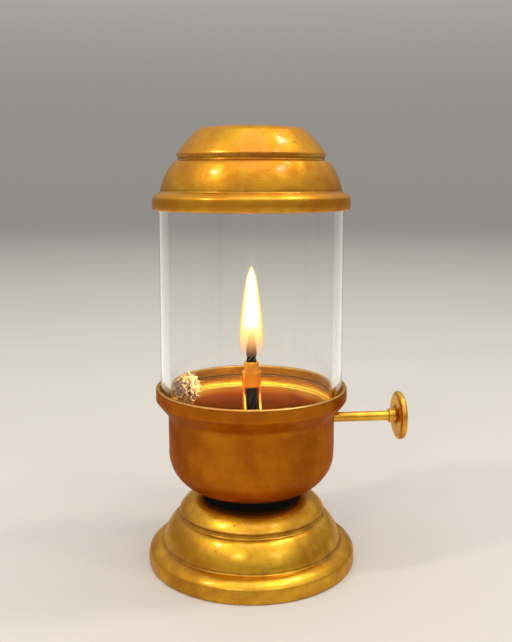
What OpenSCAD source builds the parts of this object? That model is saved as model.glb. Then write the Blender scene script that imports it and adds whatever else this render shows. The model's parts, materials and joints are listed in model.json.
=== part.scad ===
// Akhand diya: a covered brass oil lamp with a glass chimney and a side wick raiser.
// Millimetres. The origin is on the lamp's axis at table height, +Z is up.
// The raiser's spindle runs along +X and its wheel bites the wick from the -Y side.

/* [Glass chimney] */
// Outside diameter of the chimney tube
glass_d = 75; // [70:0.5:90]
// Wall thickness of the chimney tube
glass_wall = 4; // [3:0.1:5]
// Length of the chimney tube
glass_len = 82.3; // [70:0.1:110]
// Radius of the fire-polished edges
glass_edge_r = 0.8; // [0.3:0.1:1.2]

/* [Base] */
// Diameter of the ring the lamp stands on
base_d = 86; // [80:0.5:100]
// Height of the base from the table to its flat top
base_h = 28.2; // [25:0.1:36]
// Wall thickness of the base
base_wall = 1.5; // [1:0.1:2]
// Height of the upright band round the foot ring
base_band_h = 5.8; // [4.5:0.1:8]
// Wall thickness of the foot ring
base_ring_wall = 2; // [1.5:0.1:3]
// Rise of the sloping shoulder between band and dome
base_shoulder_h = 3.2; // [2:0.1:4]
// Swell of the shoulder beyond a straight slope
base_shoulder_swell = 0.7; // [0.2:0.1:1]
// Diameter at the foot of the dome
base_dome_d = 75; // [71:0.5:78]
// Diameter at the groove round the dome
base_groove_d = 63; // [59:0.5:66]
// Height of the groove above the table
base_groove_z = 19.6; // [17:0.1:21]
// Step inwards from the lower dome to the upper one at the groove
base_groove_step = 1; // [0.4:0.1:2]
// Diameter of the flat top
base_top_d = 47.5; // [46.5:0.5:54]
// Swell of the lower dome beyond a straight cone
base_swell_low = 1; // [0.4:0.1:1.5]
// Swell of the upper dome beyond a straight cone
base_swell_high = 0.6; // [0.3:0.1:1]

/* [Oil bowl] */
// Height of the bowl from its flat bottom to its lip
bowl_h = 42.2; // [40:0.1:60]
// Wall thickness of the bowl
bowl_wall = 1.2; // [0.8:0.1:2]
// Diameter of the flat bottom
bowl_bottom_d = 47.6; // [44:0.2:52]
// Radius of the round corner between bottom and wall
bowl_corner_r = 16; // [14:0.5:20]
// Wall thickness of the lip round the chimney
lip_wall = 1.8; // [1.2:0.1:2.5]
// Depth of the chimney seat below the lip
seat_depth = 4.6; // [3.6:0.1:8]
// Reach of the lip's outer band below the seat
lip_drop = 0.4; // [0.2:0.1:1.2]
// Height of the slope from the bowl's wall out to the lip's band
slope_h = 6.4; // [5.8:0.1:8]
// Width of the seat under the chimney wall
seat_w = 1.8; // [1.2:0.1:2.5]
// Depth of the step below the seat
step_depth = 3.3; // [2:0.1:5]
// Width of the step below the seat
step_w = 2.4; // [1.5:0.1:3.5]

/* [Lid] */
// Height of the lid from its lower edge to its flat top
lid_h = 32.8; // [28:0.1:40]
// Wall thickness of the lid
lid_wall = 1.2; // [0.8:0.1:2]
// Wall thickness of the brim
brim_wall = 2; // [1.2:0.1:2.5]
// Height of the upright brim
brim_h = 5.1; // [4:0.1:8]
// Rise of the sloping shoulder between brim and dome
lid_shoulder_h = 2.3; // [2:0.1:4]
// Swell of the shoulder beyond a straight slope
lid_shoulder_swell = 0.2; // [0.1:0.1:0.5]
// Diameter at the groove round the dome
lid_groove_d = 63; // [59:0.5:66]
// Height of the groove above the lid's lower edge
lid_groove_z = 19.1; // [17:0.1:21]
// Step inwards from the lower dome to the upper one at the groove
lid_groove_step = 1.2; // [0.4:0.1:2]
// Diameter of the flat top
lid_top_d = 41.5; // [36:0.5:46]
// Diameter of the vent that lets the hot air out
vent_d = 28; // [16:0.5:34]
// Swell of the lower dome beyond a straight cone
lid_swell_low = 0.8; // [0.4:0.1:1.2]
// Swell of the upper dome beyond a straight cone
lid_swell_high = 0.6; // [0.3:0.1:0.9]

/* [Grooves and edges] */
// Depth of the turned grooves
groove_depth = 0.6; // [0.3:0.1:0.8]
// Width of the turned grooves
groove_w = 2.8; // [1.6:0.1:3.4]
// Swell of the upright bands
band_swell = 0.3; // [0.1:0.1:0.5]
// Radius of the rounded sheet edges
edge_r = 0.5; // [0.3:0.05:0.55]
// Length of the soft corner round the flat tops of lid and base
top_soft = 2.4; // [1:0.1:3]

/* [Clamping stack] */
// Diameter of the stud that clamps burner, bowl and base together
stud_d = 6; // [5:0.5:8]
// Length of the stud below the burner foot
stud_reach = 16; // [14.5:0.5:20]
// Thickness of the black spacer between base and bowl
spacer_t = 4.2; // [2.5:0.1:5]
// Diameter of the black spacer
spacer_d = 42; // [30:0.5:44]
// Thickness of the fibre seal on the bowl's floor
seal_t = 0.8; // [0.5:0.1:1.5]
// Diameter of the fibre seal
seal_d = 20; // [16:0.5:23]
// Thickness of the plain washer under the base top
washer_t = 1.2; // [0.8:0.1:2]
// Diameter of the plain washer
washer_d = 16; // [14:0.5:20]
// Height of the hexagon nut
nut_h = 5; // [4:0.5:6.5]
// Width of the nut across its flats
nut_af = 10; // [10:0.5:14]

/* [Burner] */
// Diameter of the round burner foot
foot_d = 24; // [20:0.5:28]
// Thickness of the burner foot
foot_t = 3; // [2.5:0.1:4]
// Height of the socket that holds the burner housing
socket_h = 3; // [2:0.1:3.2]
// Wall thickness of the socket
socket_wall = 1.6; // [1:0.1:2]
// Outside diameter of the burner housing
housing_d = 8; // [7.5:0.1:10]
// Wall thickness of the burner housing
housing_wall = 0.9; // [0.6:0.1:1]
// Length of the burner housing
housing_len = 43.1; // [42:0.1:48]
// Wall thickness of the wick tube
tube_wall = 0.5; // [0.4:0.05:0.6]
// Length of wick tube above the housing
tube_rise = 4.1; // [2:0.1:6]
// Length of wick tube inside the housing
tube_grip = 5.6; // [4:0.1:6]
// Height of the wick slot's lower edge above the foot
slot_z = 4.2; // [3.4:0.1:4.4]
// Height of the slot that lets the wick out
slot_h = 7.6; // [7.2:0.1:9]
// Width of the slot that lets the wick out
slot_w = 5.2; // [5.1:0.1:5.6]

/* [Wick raiser] */
// Height of the spindle above the burner foot
spindle_rise = 24; // [22:0.1:24.2]
// Diameter of the spindle
spindle_d = 4; // [3:0.1:4.4]
// Reach of the spindle from the lamp's axis to the knob's outer face
spindle_reach = 63; // [52:0.5:80]
// Length of spindle beyond the left bracket cheek
spindle_stub = 0.8; // [0.4:0.1:2]
// Diameter of the peened head at the knob
rivet_d = 5.6; // [5:0.1:7]
// Height of the peened head at the knob
rivet_h = 0.8; // [0.4:0.1:1.5]
// Diameter over the teeth of the wick wheel
wheel_d = 7.2; // [6.6:0.1:7.6]
// Width of the wick wheel
wheel_w = 4.4; // [3:0.1:4.6]
// Depth of the teeth
tooth_depth = 0.8; // [0.4:0.05:0.9]
// Number of teeth
tooth_count = 14; // [8:1:18]
// Diameter of the knob
knob_d = 20; // [14:0.5:26]
// Thickness of the knob's rim
knob_t = 3; // [2:0.1:4]
// Depth of the dished recess in the knob's outer face
knob_dish = 0.5; // [0.2:0.1:0.8]
// Length of the knob's hub
hub_len = 3.2; // [2:0.1:6]
// Diameter of the knob's hub
hub_d = 6; // [5.4:0.1:8]
// Thickness of the bracket cheeks
cheek_t = 0.9; // [0.6:0.1:1.2]
// Metal left round the spindle in the bracket's nose
nose_wall = 1.4; // [1:0.1:2]
// Height of the window above the spindle
window_rise = 13; // [9:0.1:13.4]
// Length of the bracket's tail below the window
bracket_tail = 5; // [3:0.1:6]

/* [Wick] */
// Diameter of the wick
wick_d = 4.2; // [3.4:0.1:4.6]
// Height of charred wick above the tube
wick_rise = 6.4; // [5:0.1:9]
// Diameter of the burnt tip
wick_tip_d = 3; // [2:0.1:3.4]
// Length over which the burnt tip draws in
wick_tip_len = 3; // [1:0.1:5]
// Swell of the burnt tip beyond a straight cone
wick_tip_swell = 0.3; // [0.1:0.1:0.5]
// Height of the wick's lower end above the burner foot
wick_foot = 15.8; // [14.5:0.1:17]
// Direction in which the spare wick runs to the bowl's wall
tail_azimuth = 175; // [160:1:205]
// Radius of the frayed cotton tuft
tuft_r = 5.5; // [4:0.1:5.6]

/* [Clearances] */
// Gap round the chimney inside the bowl's lip
glass_fit = 0.3; // [0.2:0.05:0.6]
// Gap round the chimney inside the lid's brim
lid_fit = 0.4; // [0.3:0.05:0.8]
// Running gap round the spindle
spindle_fit = 0.06; // [0.03:0.01:0.1]
// Gap round the stud in plain holes
stud_fit = 0.2; // [0.1:0.05:0.4]
// Gap between wheel and cheeks, and below the wheel
wheel_fit = 0.5; // [0.3:0.1:0.8]
// Gap between the wheel's teeth and the wick
bite_gap = 0.25; // [0.2:0.05:0.4]

/* [Hidden] */
$fn = 96;
arc_steps = 10;
eps = 1;

// Heights of the stack, from the table up
base_dome_z = base_band_h + base_shoulder_h;
base_roof_z = base_h - base_wall;
washer_z = base_roof_z - washer_t;
nut_z = washer_z - nut_h;
bowl_z = base_h + spacer_t;
floor_z = bowl_z + bowl_wall;
foot_z = floor_z + seal_t;
foot_top_z = foot_z + foot_t;
lip_z = bowl_z + bowl_h;
seat_z = lip_z - seat_depth;
step_z = seat_z - step_depth;
glass_top_z = seat_z + glass_len;
lid_z = glass_top_z - brim_h;
stud_z = foot_z - stud_reach;

// Radii that fit the chimney
glass_r = glass_d / 2;
lip_in_r = glass_r + glass_fit;
lip_out_r = lip_in_r + lip_wall;
seat_in_r = glass_r - seat_w;
bowl_in_r = seat_in_r - step_w;
bowl_r = bowl_in_r + bowl_wall;
brim_in_r = glass_r + lid_fit;
brim_r = brim_in_r + brim_wall;
lid_dome_r = glass_r - seat_w + lid_wall;

// Round corner of the bowl
corner_x = bowl_r - bowl_corner_r;
corner_in_r = bowl_corner_r - bowl_wall;
corner_z = bowl_z + sqrt(pow(bowl_corner_r, 2) - pow(bowl_bottom_d / 2 - corner_x, 2));
floor_r = corner_x + sqrt(pow(corner_in_r, 2) - pow(corner_z - floor_z, 2));

// Burner and raiser
stud_hole_r = stud_d / 2 + stud_fit;
housing_r = housing_d / 2;
housing_in_r = housing_r - housing_wall;
housing_top_z = foot_top_z + housing_len;
tube_top_z = housing_top_z + tube_rise;
wick_r = wick_d / 2;
wick_z = foot_top_z + wick_foot;
wick_top_z = tube_top_z + wick_rise;
wheel_r = wheel_d / 2;
spindle_r = spindle_d / 2;
bore_r = spindle_r + spindle_fit;
spindle_y = -(wick_r + bite_gap + wheel_r);
spindle_z = foot_top_z + spindle_rise;
cheek_x = wheel_w / 2 + wheel_fit;
window_z = spindle_z - wheel_r - wheel_fit;
window_top_z = spindle_z + window_rise;
nose_r = bore_r + nose_wall;
knob_x = spindle_reach - knob_t;

// Spare wick: distance from the axis and height of each point of its route
tail_route = [[0, 52.9], [0, 51.8], [0.2, 50.4], [0.8, 48.5], [1.8, 46.9], [3.2, 45.4],
              [4.8, 44.3], [7, 43], [10, 41.2], [13, 39.5], [16, 37.8], [18.6, 36.5], [21, 36],
              [23, 36.2], [25, 37.1], [27.2, 38.9], [29, 41.4], [30.3, 44.6], [30.7, 48.2],
              [30.7, 53], [30.4, 58], [29.7, 63.5], [28.8, 67.2]];
tail_sides = 10;

// Frayed tuft: centre of the ball, and its lobes
tuft_s = 27;
tuft_z = 73.2;
tuft_stretch = 1.3;
lobe_depth = 0.12;
lobes_round = 5;
lobes_tall = 6;
tuft_columns = 30;
tuft_rows = 18;

brass = [0.80, 0.58, 0.18];
brass_deep = [0.70, 0.46, 0.13];
cotton = [0.93, 0.90, 0.84];

// Points of an arc round a centre, angles in degrees
function arc_points(c, r, a0, a1, n = arc_steps) =
    [for (i = [0 : n]) let (a = a0 + (a1 - a0) * i / n) c + r * [cos(a), sin(a)]];

// Points of an arc from p to q that swells by a given height to its right-hand side
function swell_points(p, q, swell, n = arc_steps) =
    let (chord = norm(q - p),
         u = (q - p) / chord,
         side = [u[1], -u[0]],
         half = 2 * atan(2 * swell / chord),
         r = chord / (2 * sin(half)),
         mid = (p + q) / 2)
    [for (i = [0 : n])
        let (a = half * (2 * i / n - 1)) mid + u * r * sin(a) + side * r * (cos(a) - cos(half))];

// Points of a soft corner from a to b, drawn towards c
function soft_corner(a, c, b, n = 6) =
    [for (i = [0 : n]) let (t = i / n) pow(1 - t, 2) * a + 2 * t * (1 - t) * c + pow(t, 2) * b];

function reversed(list) = [for (i = [len(list) - 1 : -1 : 0]) list[i]];

// Outline of a dome in two swelling stages with a stepped groove between them,
// from the foot of the dome up to the edge of its flat top
function stage_points(foot, groove, step, top, low, high) =
    concat(swell_points(foot, groove, low),
           [groove + [-step - groove_depth, groove_w / 4],
            groove + [-step - groove_depth, groove_w * 3 / 4]],
           swell_points(groove + [-step, groove_w], top, high));

// Closed section of a spun dome with an upright band and a sloping shoulder.
// The section is the outside, a flat land round the hole in the top, and the inside,
// which starts with the points up the inside of the band.
module dome_section(band_r, inner_band, band_h, shoulder, foot, groove, step, top, hole_r, wall,
                    low, high) {
    inner_foot = foot + [-wall, -wall];
    inner_groove = groove + [-wall, -wall];
    inner_top = top + [-wall, -wall];
    stages = [for (p = stage_points(foot, groove, step, top, low, high))
        if (norm(p - top) > top_soft) p];
    land = [top[0] - top_soft, top[1]];
    band_corner = arc_points([band_r - edge_r, band_h - edge_r], edge_r, 0, 45, 4);
    slope = swell_points(band_corner[4], foot, shoulder, 6);
    outside = concat([[band_r - edge_r, 0]],
                     arc_points([band_r - edge_r, edge_r], edge_r, -90, 0, 4),
                     swell_points([band_r, edge_r], [band_r, band_h - edge_r], band_swell, 4),
                     band_corner,
                     [for (i = [1 : 5]) slope[i]],
                     [for (i = [0 : len(stages) - 2]) stages[i]],
                     soft_corner(stages[len(stages) - 1], top, land),
                     [[hole_r, top[1]]]);
    inside = concat(inner_band,
                    stage_points(inner_foot, inner_groove, step, inner_top, low, high),
                    [[hole_r, inner_top[1]]]);
    polygon(concat(outside, reversed(inside)));
}

// Flat ring with a hole in it, standing on z
module ring(z, r, hole_r, h) {
    translate([0, 0, z]) difference() {
        cylinder(h = h, r = r);
        translate([0, 0, -eps]) cylinder(h = h + 2 * eps, r = hole_r);
    }
}

// Cylinder along X, from x0 to x1, on the spindle's axis
module spindle_bar(r, x0, x1) {
    translate([x0, spindle_y, spindle_z]) rotate([0, 90, 0]) cylinder(h = x1 - x0, r = r);
}

// Tube of sides n swept along a route in one upright plane; the end rings are square to the route
module swept_tube(route, r, n) {
    last = len(route) - 1;
    rings = [for (i = [0 : last])
        let (d = route[min(i + 1, last)] - route[max(i - 1, 0)],
             u = d / norm(d),
             side = [-u[1], u[0]])
        for (k = [0 : n - 1])
            let (a = 360 * k / n)
            [route[i][0] + r * cos(a) * side[0], r * sin(a), route[i][1] + r * cos(a) * side[1]]];
    walls = [for (i = [0 : last - 1], k = [0 : n - 1])
        let (a = i * n + k, b = i * n + (k + 1) % n)
        [[a, a + n, b], [b, a + n, b + n]]];
    faces = concat([for (pair = walls) for (f = pair) f],
                   [for (k = [1 : n - 2]) [0, k, k + 1]],
                   [for (k = [1 : n - 2]) [last * n, last * n + k + 1, last * n + k]]);
    polyhedron(points = rings, faces = faces);
}

// Ball with soft lobes, as teased cotton has
module lobed_ball(r, stretch, n_round, n_tall) {
    radius = function (a, b) r * (1 + lobe_depth * sin(lobes_round * a) * sin(lobes_tall * b));
    rings = [for (j = [1 : n_tall - 1], i = [0 : n_round - 1])
        let (a = 360 * i / n_round, b = 180 * j / n_tall)
        radius(a, b) * [sin(b) * cos(a), sin(b) * sin(a), stretch * cos(b)]];
    poles = [[0, 0, r * stretch], [0, 0, -r * stretch]];
    top = len(rings);
    bottom = top + 1;
    first = (n_tall - 2) * n_round;
    caps = [for (i = [0 : n_round - 1]) let (k = (i + 1) % n_round)
        [[top, k, i], [bottom, first + i, first + k]]];
    walls = [for (j = [0 : n_tall - 3], i = [0 : n_round - 1])
        let (a = j * n_round + i, b = j * n_round + (i + 1) % n_round)
        [[a, b, a + n_round], [b, b + n_round, a + n_round]]];
    polyhedron(points = concat(rings, poles),
               faces = [for (pair = concat(caps, walls)) for (f = pair) f]);
}

module base_shell() {
    ring_in_r = base_d / 2 - base_ring_wall;
    color(brass) rotate_extrude()
        dome_section(band_r = base_d / 2, band_h = base_band_h,
                     inner_band = [[ring_in_r, 0], [ring_in_r, base_band_h - base_wall]],
                     shoulder = base_shoulder_swell, foot = [base_dome_d / 2, base_dome_z],
                     groove = [base_groove_d / 2, base_groove_z], step = base_groove_step,
                     top = [base_top_d / 2, base_h], hole_r = stud_hole_r, wall = base_wall,
                     low = base_swell_low, high = base_swell_high);
}

module base_washer() {
    color("silver") ring(washer_z, washer_d / 2, stud_hole_r, washer_t);
}

module base_nut() {
    color("silver") translate([0, 0, nut_z]) difference() {
        cylinder(h = nut_h, d = nut_af / cos(30), $fn = 6);
        translate([0, 0, -eps]) cylinder(h = nut_h + 2 * eps, d = stud_d);
    }
}

module clamp_stud() {
    color("silver") translate([0, 0, stud_z]) cylinder(h = foot_top_z - stud_z, d = stud_d);
}

module spacer_ring() {
    color([0.05, 0.05, 0.05]) ring(base_h, spacer_d / 2, stud_hole_r, spacer_t);
}

// Bowl: flat bottom, round corner, upright wall, and a slope out to the lip's band.
// Two steps inside carry the chimney.
module oil_bowl() {
    low_a = atan2(bowl_z - corner_z, bowl_bottom_d / 2 - corner_x);
    floor_a = atan2(floor_z - corner_z, floor_r - corner_x);
    lip_mid_r = lip_out_r - lip_wall / 2;
    lip_foot = [lip_out_r, seat_z - lip_drop];
    wall_top = [bowl_r, lip_foot[1] - slope_h];
    uphill = (lip_foot - wall_top) / norm(lip_foot - wall_top);
    bend = bowl_wall;
    outside = concat([[stud_hole_r, bowl_z]],
                     arc_points([corner_x, corner_z], bowl_corner_r, low_a, 0),
                     soft_corner(wall_top - [0, bend], wall_top, wall_top + bend * uphill),
                     soft_corner(lip_foot - bend / 2 * uphill, lip_foot, lip_foot + [0, bend / 2]),
                     arc_points([lip_mid_r, lip_z - lip_wall / 2], lip_wall / 2, 0, 180));
    inside = concat([[stud_hole_r, floor_z]],
                    arc_points([corner_x, corner_z], corner_in_r, floor_a, 0),
                    [[bowl_in_r, step_z], [seat_in_r, step_z]],
                    [[seat_in_r, seat_z], [lip_in_r, seat_z]]);
    color(brass_deep) difference() {
        rotate_extrude() polygon(concat(outside, reversed(inside)));
        spindle_bar(bore_r, bowl_in_r / 2, bowl_r + bowl_wall);
    }
}

module foot_seal() {
    color("firebrick") ring(floor_z, seal_d / 2, stud_hole_r, seal_t);
}

// Turned foot: a disc with a falling top and the socket that holds the housing
module burner_foot() {
    socket_r = housing_r + socket_wall;
    rim_t = foot_t / 2;
    color(brass) translate([0, 0, foot_z]) rotate_extrude()
        polygon([[stud_d / 2, 0], [foot_d / 2, 0], [foot_d / 2, rim_t], [socket_r, foot_t],
                 [socket_r, foot_t + socket_h], [housing_r, foot_t + socket_h],
                 [housing_r, foot_t], [stud_d / 2, foot_t]]);
}

// Straight tube with the wheel's window in front and the wick's round-ended slot at the side
module burner_housing() {
    color(brass) difference() {
        ring(foot_top_z, housing_r, housing_in_r, housing_len);
        translate([-cheek_x, -housing_d, window_z])
            cube([2 * cheek_x, housing_d, window_top_z - window_z]);
        rotate([0, 0, tail_azimuth]) translate([0, 0, foot_top_z + slot_z]) {
            for (z = [slot_w / 2, slot_h - slot_w / 2])
                translate([0, 0, z]) rotate([0, 90, 0]) cylinder(h = housing_d, d = slot_w);
            translate([0, -slot_w / 2, slot_w / 2]) cube([housing_d, slot_w, slot_h - slot_w]);
        }
    }
}

// Two cheeks that carry the spindle, tied by a strip below the wheel
module wheel_bracket() {
    nose = [-spindle_y, spindle_z];
    top = [0, window_top_z];
    low = [0, window_z - bracket_tail];
    tangent_top = atan2(top[1] - nose[1], top[0] - nose[0]) - acos(nose_r / norm(top - nose));
    tangent_low = atan2(low[1] - nose[1], low[0] - nose[0]) + acos(nose_r / norm(low - nose));
    strip_front = housing_r + cheek_t;
    color(brass) difference() {
        union() {
            for (x = [-cheek_x - cheek_t, cheek_x])
                translate([x, 0, 0]) rotate([90, 0, -90]) mirror([0, 0, 1])
                    linear_extrude(cheek_t)
                        polygon(concat([low], arc_points(nose, nose_r, tangent_low, tangent_top),
                                       [top]));
            translate([-cheek_x - cheek_t / 2, -strip_front, window_z - cheek_t])
                cube([2 * cheek_x + cheek_t, strip_front, cheek_t]);
        }
        translate([0, 0, foot_top_z]) cylinder(h = housing_len, r = housing_r);
        spindle_bar(bore_r, -cheek_x - cheek_t - eps, cheek_x + cheek_t + eps);
    }
}

module wick_tube() {
    tube_z = housing_top_z - tube_grip;
    color(brass) translate([0, 0, tube_z]) rotate_extrude()
        polygon(concat([[housing_in_r - tube_wall, 0], [housing_in_r, 0]],
                       arc_points([housing_in_r - tube_wall / 2, tube_grip + tube_rise - tube_wall / 2],
                                  tube_wall / 2, 0, 180, 6)));
}

// Spindle from its stub at the left cheek to the peened head outside the knob
module spindle() {
    color(brass) union() {
        spindle_bar(spindle_r, -cheek_x - cheek_t - spindle_stub, spindle_reach);
        translate([spindle_reach - knob_dish, spindle_y, spindle_z]) rotate([0, 90, 0])
            rotate_extrude()
                polygon(concat([[0, 0]], swell_points([rivet_d / 2, 0], [0, rivet_h], rivet_h / 3)));
    }
}

// Toothed wheel that climbs the wick
module wick_wheel() {
    root_r = wheel_r - tooth_depth;
    pitch = 360 / tooth_count;
    land = pitch / 8;
    teeth = [for (i = [0 : tooth_count - 1])
        for (corner = [[wheel_r, -land], [wheel_r, land],
                       [root_r, pitch / 2 - land], [root_r, pitch / 2 + land]])
            corner[0] * [cos(i * pitch + corner[1]), sin(i * pitch + corner[1])]];
    color(brass_deep) translate([-wheel_w / 2, spindle_y, spindle_z]) rotate([0, 90, 0]) difference() {
        linear_extrude(wheel_w) polygon(teeth);
        translate([0, 0, -eps]) cylinder(h = wheel_w + 2 * eps, r = spindle_r);
    }
}

// Turned knob: hub, flared neck, disc with a full round rim and a dished outer face
module knob() {
    knob_r = knob_d / 2;
    rim_r = knob_t / 2;
    dish_r = knob_r - knob_t;
    color(brass) translate([knob_x, spindle_y, spindle_z]) rotate([0, 90, 0]) rotate_extrude()
        polygon(concat([[spindle_r, -hub_len], [hub_d / 2, -hub_len]],
                       swell_points([hub_d / 2, -hub_len / 2], [hub_d / 2 + hub_len / 2, 0],
                                    -hub_len / 8, 6),
                       arc_points([knob_r - rim_r, rim_r], rim_r, -90, 90),
                       [[dish_r, knob_t], [dish_r - knob_dish, knob_t - knob_dish]],
                       [[spindle_r, knob_t - knob_dish]]));
}

// Moving stretch of the wick, with its burnt end drawn in
module wick() {
    color([0.16, 0.13, 0.10]) rotate_extrude()
        polygon(concat([[0, wick_z], [wick_r, wick_z]],
                       swell_points([wick_r, wick_top_z - wick_tip_len], [wick_tip_d / 2, wick_top_z],
                                    wick_tip_swell, 6),
                       [[0, wick_top_z]]));
}

module wick_tail() {
    color(cotton) rotate([0, 0, tail_azimuth]) swept_tube(tail_route, wick_r, tail_sides);
}

module wick_tuft() {
    color(cotton) rotate([0, 0, tail_azimuth]) translate([tuft_s, 0, tuft_z])
        lobed_ball(tuft_r, tuft_stretch, tuft_columns, tuft_rows);
}

module glass_chimney() {
    out_x = glass_r - glass_edge_r;
    in_x = glass_r - glass_wall + glass_edge_r;
    low_z = seat_z + glass_edge_r;
    high_z = glass_top_z - glass_edge_r;
    color([0.85, 0.92, 0.95, 0.35]) rotate_extrude()
        polygon(concat(arc_points([out_x, low_z], glass_edge_r, -90, 0, 5),
                       arc_points([out_x, high_z], glass_edge_r, 0, 90, 5),
                       arc_points([in_x, high_z], glass_edge_r, 90, 180, 5),
                       arc_points([in_x, low_z], glass_edge_r, 180, 270, 5)));
}

// Lid: a flat ledge inside the brim rests on the chimney's upper edge
module lid_shell() {
    ledge_in_r = lid_dome_r - lid_wall;
    color(brass) translate([0, 0, lid_z]) rotate_extrude()
        dome_section(band_r = brim_r, band_h = brim_h,
                     inner_band = [[brim_in_r, 0], [brim_in_r, brim_h], [ledge_in_r, brim_h]],
                     shoulder = lid_shoulder_swell, foot = [lid_dome_r, brim_h + lid_shoulder_h],
                     groove = [lid_groove_d / 2, lid_groove_z], step = lid_groove_step,
                     top = [lid_top_d / 2, lid_h], hole_r = vent_d / 2, wall = lid_wall,
                     low = lid_swell_low, high = lid_swell_high);
}

base_shell();
base_washer();
base_nut();
clamp_stud();
spacer_ring();
oil_bowl();
foot_seal();
burner_foot();
burner_housing();
wheel_bracket();
wick_tube();
spindle();
wick_wheel();
knob();
wick();
wick_tail();
wick_tuft();
glass_chimney();
lid_shell();
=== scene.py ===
"""Akhand diya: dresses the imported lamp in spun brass, clear glass, cotton and a small flame."""

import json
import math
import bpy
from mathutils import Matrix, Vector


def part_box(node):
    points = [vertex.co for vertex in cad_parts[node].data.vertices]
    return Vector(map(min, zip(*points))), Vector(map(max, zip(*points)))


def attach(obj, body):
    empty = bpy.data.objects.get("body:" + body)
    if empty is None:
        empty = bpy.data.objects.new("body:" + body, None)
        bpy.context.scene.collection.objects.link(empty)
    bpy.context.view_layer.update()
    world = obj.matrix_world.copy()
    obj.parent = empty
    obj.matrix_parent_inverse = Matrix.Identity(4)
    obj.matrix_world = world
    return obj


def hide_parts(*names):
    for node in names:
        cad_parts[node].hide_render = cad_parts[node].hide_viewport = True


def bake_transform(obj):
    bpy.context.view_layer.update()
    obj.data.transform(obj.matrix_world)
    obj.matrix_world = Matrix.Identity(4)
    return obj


bl_info = {
    "name": "Akhand Diya",
    "version": (1, 0, 0),
    "blender": (4, 5, 0),
    "location": "View3D > Sidebar > Diya",
    "description": "Builds the visible lamp around its packed parts",
    "category": "Object",
}

import bpy
from bpy.props import FloatProperty, FloatVectorProperty, IntProperty, PointerProperty
from mathutils import Matrix, Vector, noise

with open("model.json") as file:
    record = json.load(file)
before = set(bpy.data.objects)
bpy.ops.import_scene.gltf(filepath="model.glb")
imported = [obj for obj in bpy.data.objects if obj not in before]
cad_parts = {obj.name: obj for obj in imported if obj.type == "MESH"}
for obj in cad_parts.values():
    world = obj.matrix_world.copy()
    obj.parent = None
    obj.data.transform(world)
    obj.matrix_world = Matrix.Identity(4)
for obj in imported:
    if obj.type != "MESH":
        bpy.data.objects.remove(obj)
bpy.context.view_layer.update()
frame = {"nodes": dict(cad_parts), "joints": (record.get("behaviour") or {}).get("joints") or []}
NODES = frame["nodes"]

MM = 0.001
FULL_TURN = 2 * math.pi
SPINDLE_AXIS = Vector(next(j["pos_m"] for j in frame["joints"] if j["name"] == "spindle_turn"))

# Pieces that the panels light, and pieces that the flame's own light or the front lamps leave out
GLASS_GROUP = "glass"
FLAME_SHY_GROUP = "not lit by the flame"
FRONT_SHY_GROUP = "not lit from the front"

# Lengths below NO_LENGTH count as none, and neighbours closer than SAME_POINT as one point
NO_LENGTH = 1e-7
SAME_POINT = 1e-6
# Steps in the bend that rounds a corner, and the most of a line that one bend takes up
BEND_STEPS = 6
BEND_SHARE = 0.45
# A bend's wear and grime are gathered over this reach, from this many points to either side
MARK_REACH = 0.9 * MM
MARK_POINTS = 12
# Share of its wear that a bend keeps where its line runs upright
UPRIGHT_WEAR = 0.3
# Dents in a metre of spun shell, and the bias that turns most of them inwards
DENT_SCALE = 220.0
DENT_BIAS = 0.6

# Tones of brass rubbed bright and of the chimney's glass, and the glass's index of refraction
RUBBED_BRASS = (0.96, 0.70, 0.28)
CLEAR_GLASS = (0.99, 0.997, 0.993, 1.0)
STREAKED_GLASS = (0.94, 0.945, 0.94, 1.0)
GROUND_GLASS = (0.72, 0.78, 0.75, 1.0)
OILY_GLASS = (0.50, 0.22, 0.03, 1.0)
GLASS_INDEX = 1.22


# Property helpers


def length(name, millimetres, description):
    """A length property whose default is written in millimetres."""
    return FloatProperty(
        name=name, description=description, default=millimetres * MM, min=0.0, precision=5, unit="LENGTH"
    )


def angle(name, degrees, description):
    """An angle property whose default is written in degrees."""
    return FloatProperty(name=name, description=description, default=math.radians(degrees), subtype="ANGLE")


def colour(name, red, green, blue, description):
    """A colour property whose default is written as it looks on screen, from 0 to 255."""
    linear = [to_linear(channel / 255) for channel in (red, green, blue)]
    return FloatVectorProperty(
        name=name,
        description=description,
        subtype="COLOR",
        size=4,
        min=0.0,
        max=1.0,
        default=(*linear, 1.0),
    )


def to_linear(value):
    """One screen channel as the linear value that shaders work in."""
    return value / 12.92 if value <= 0.04045 else ((value + 0.055) / 1.055) ** 2.4


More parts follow.
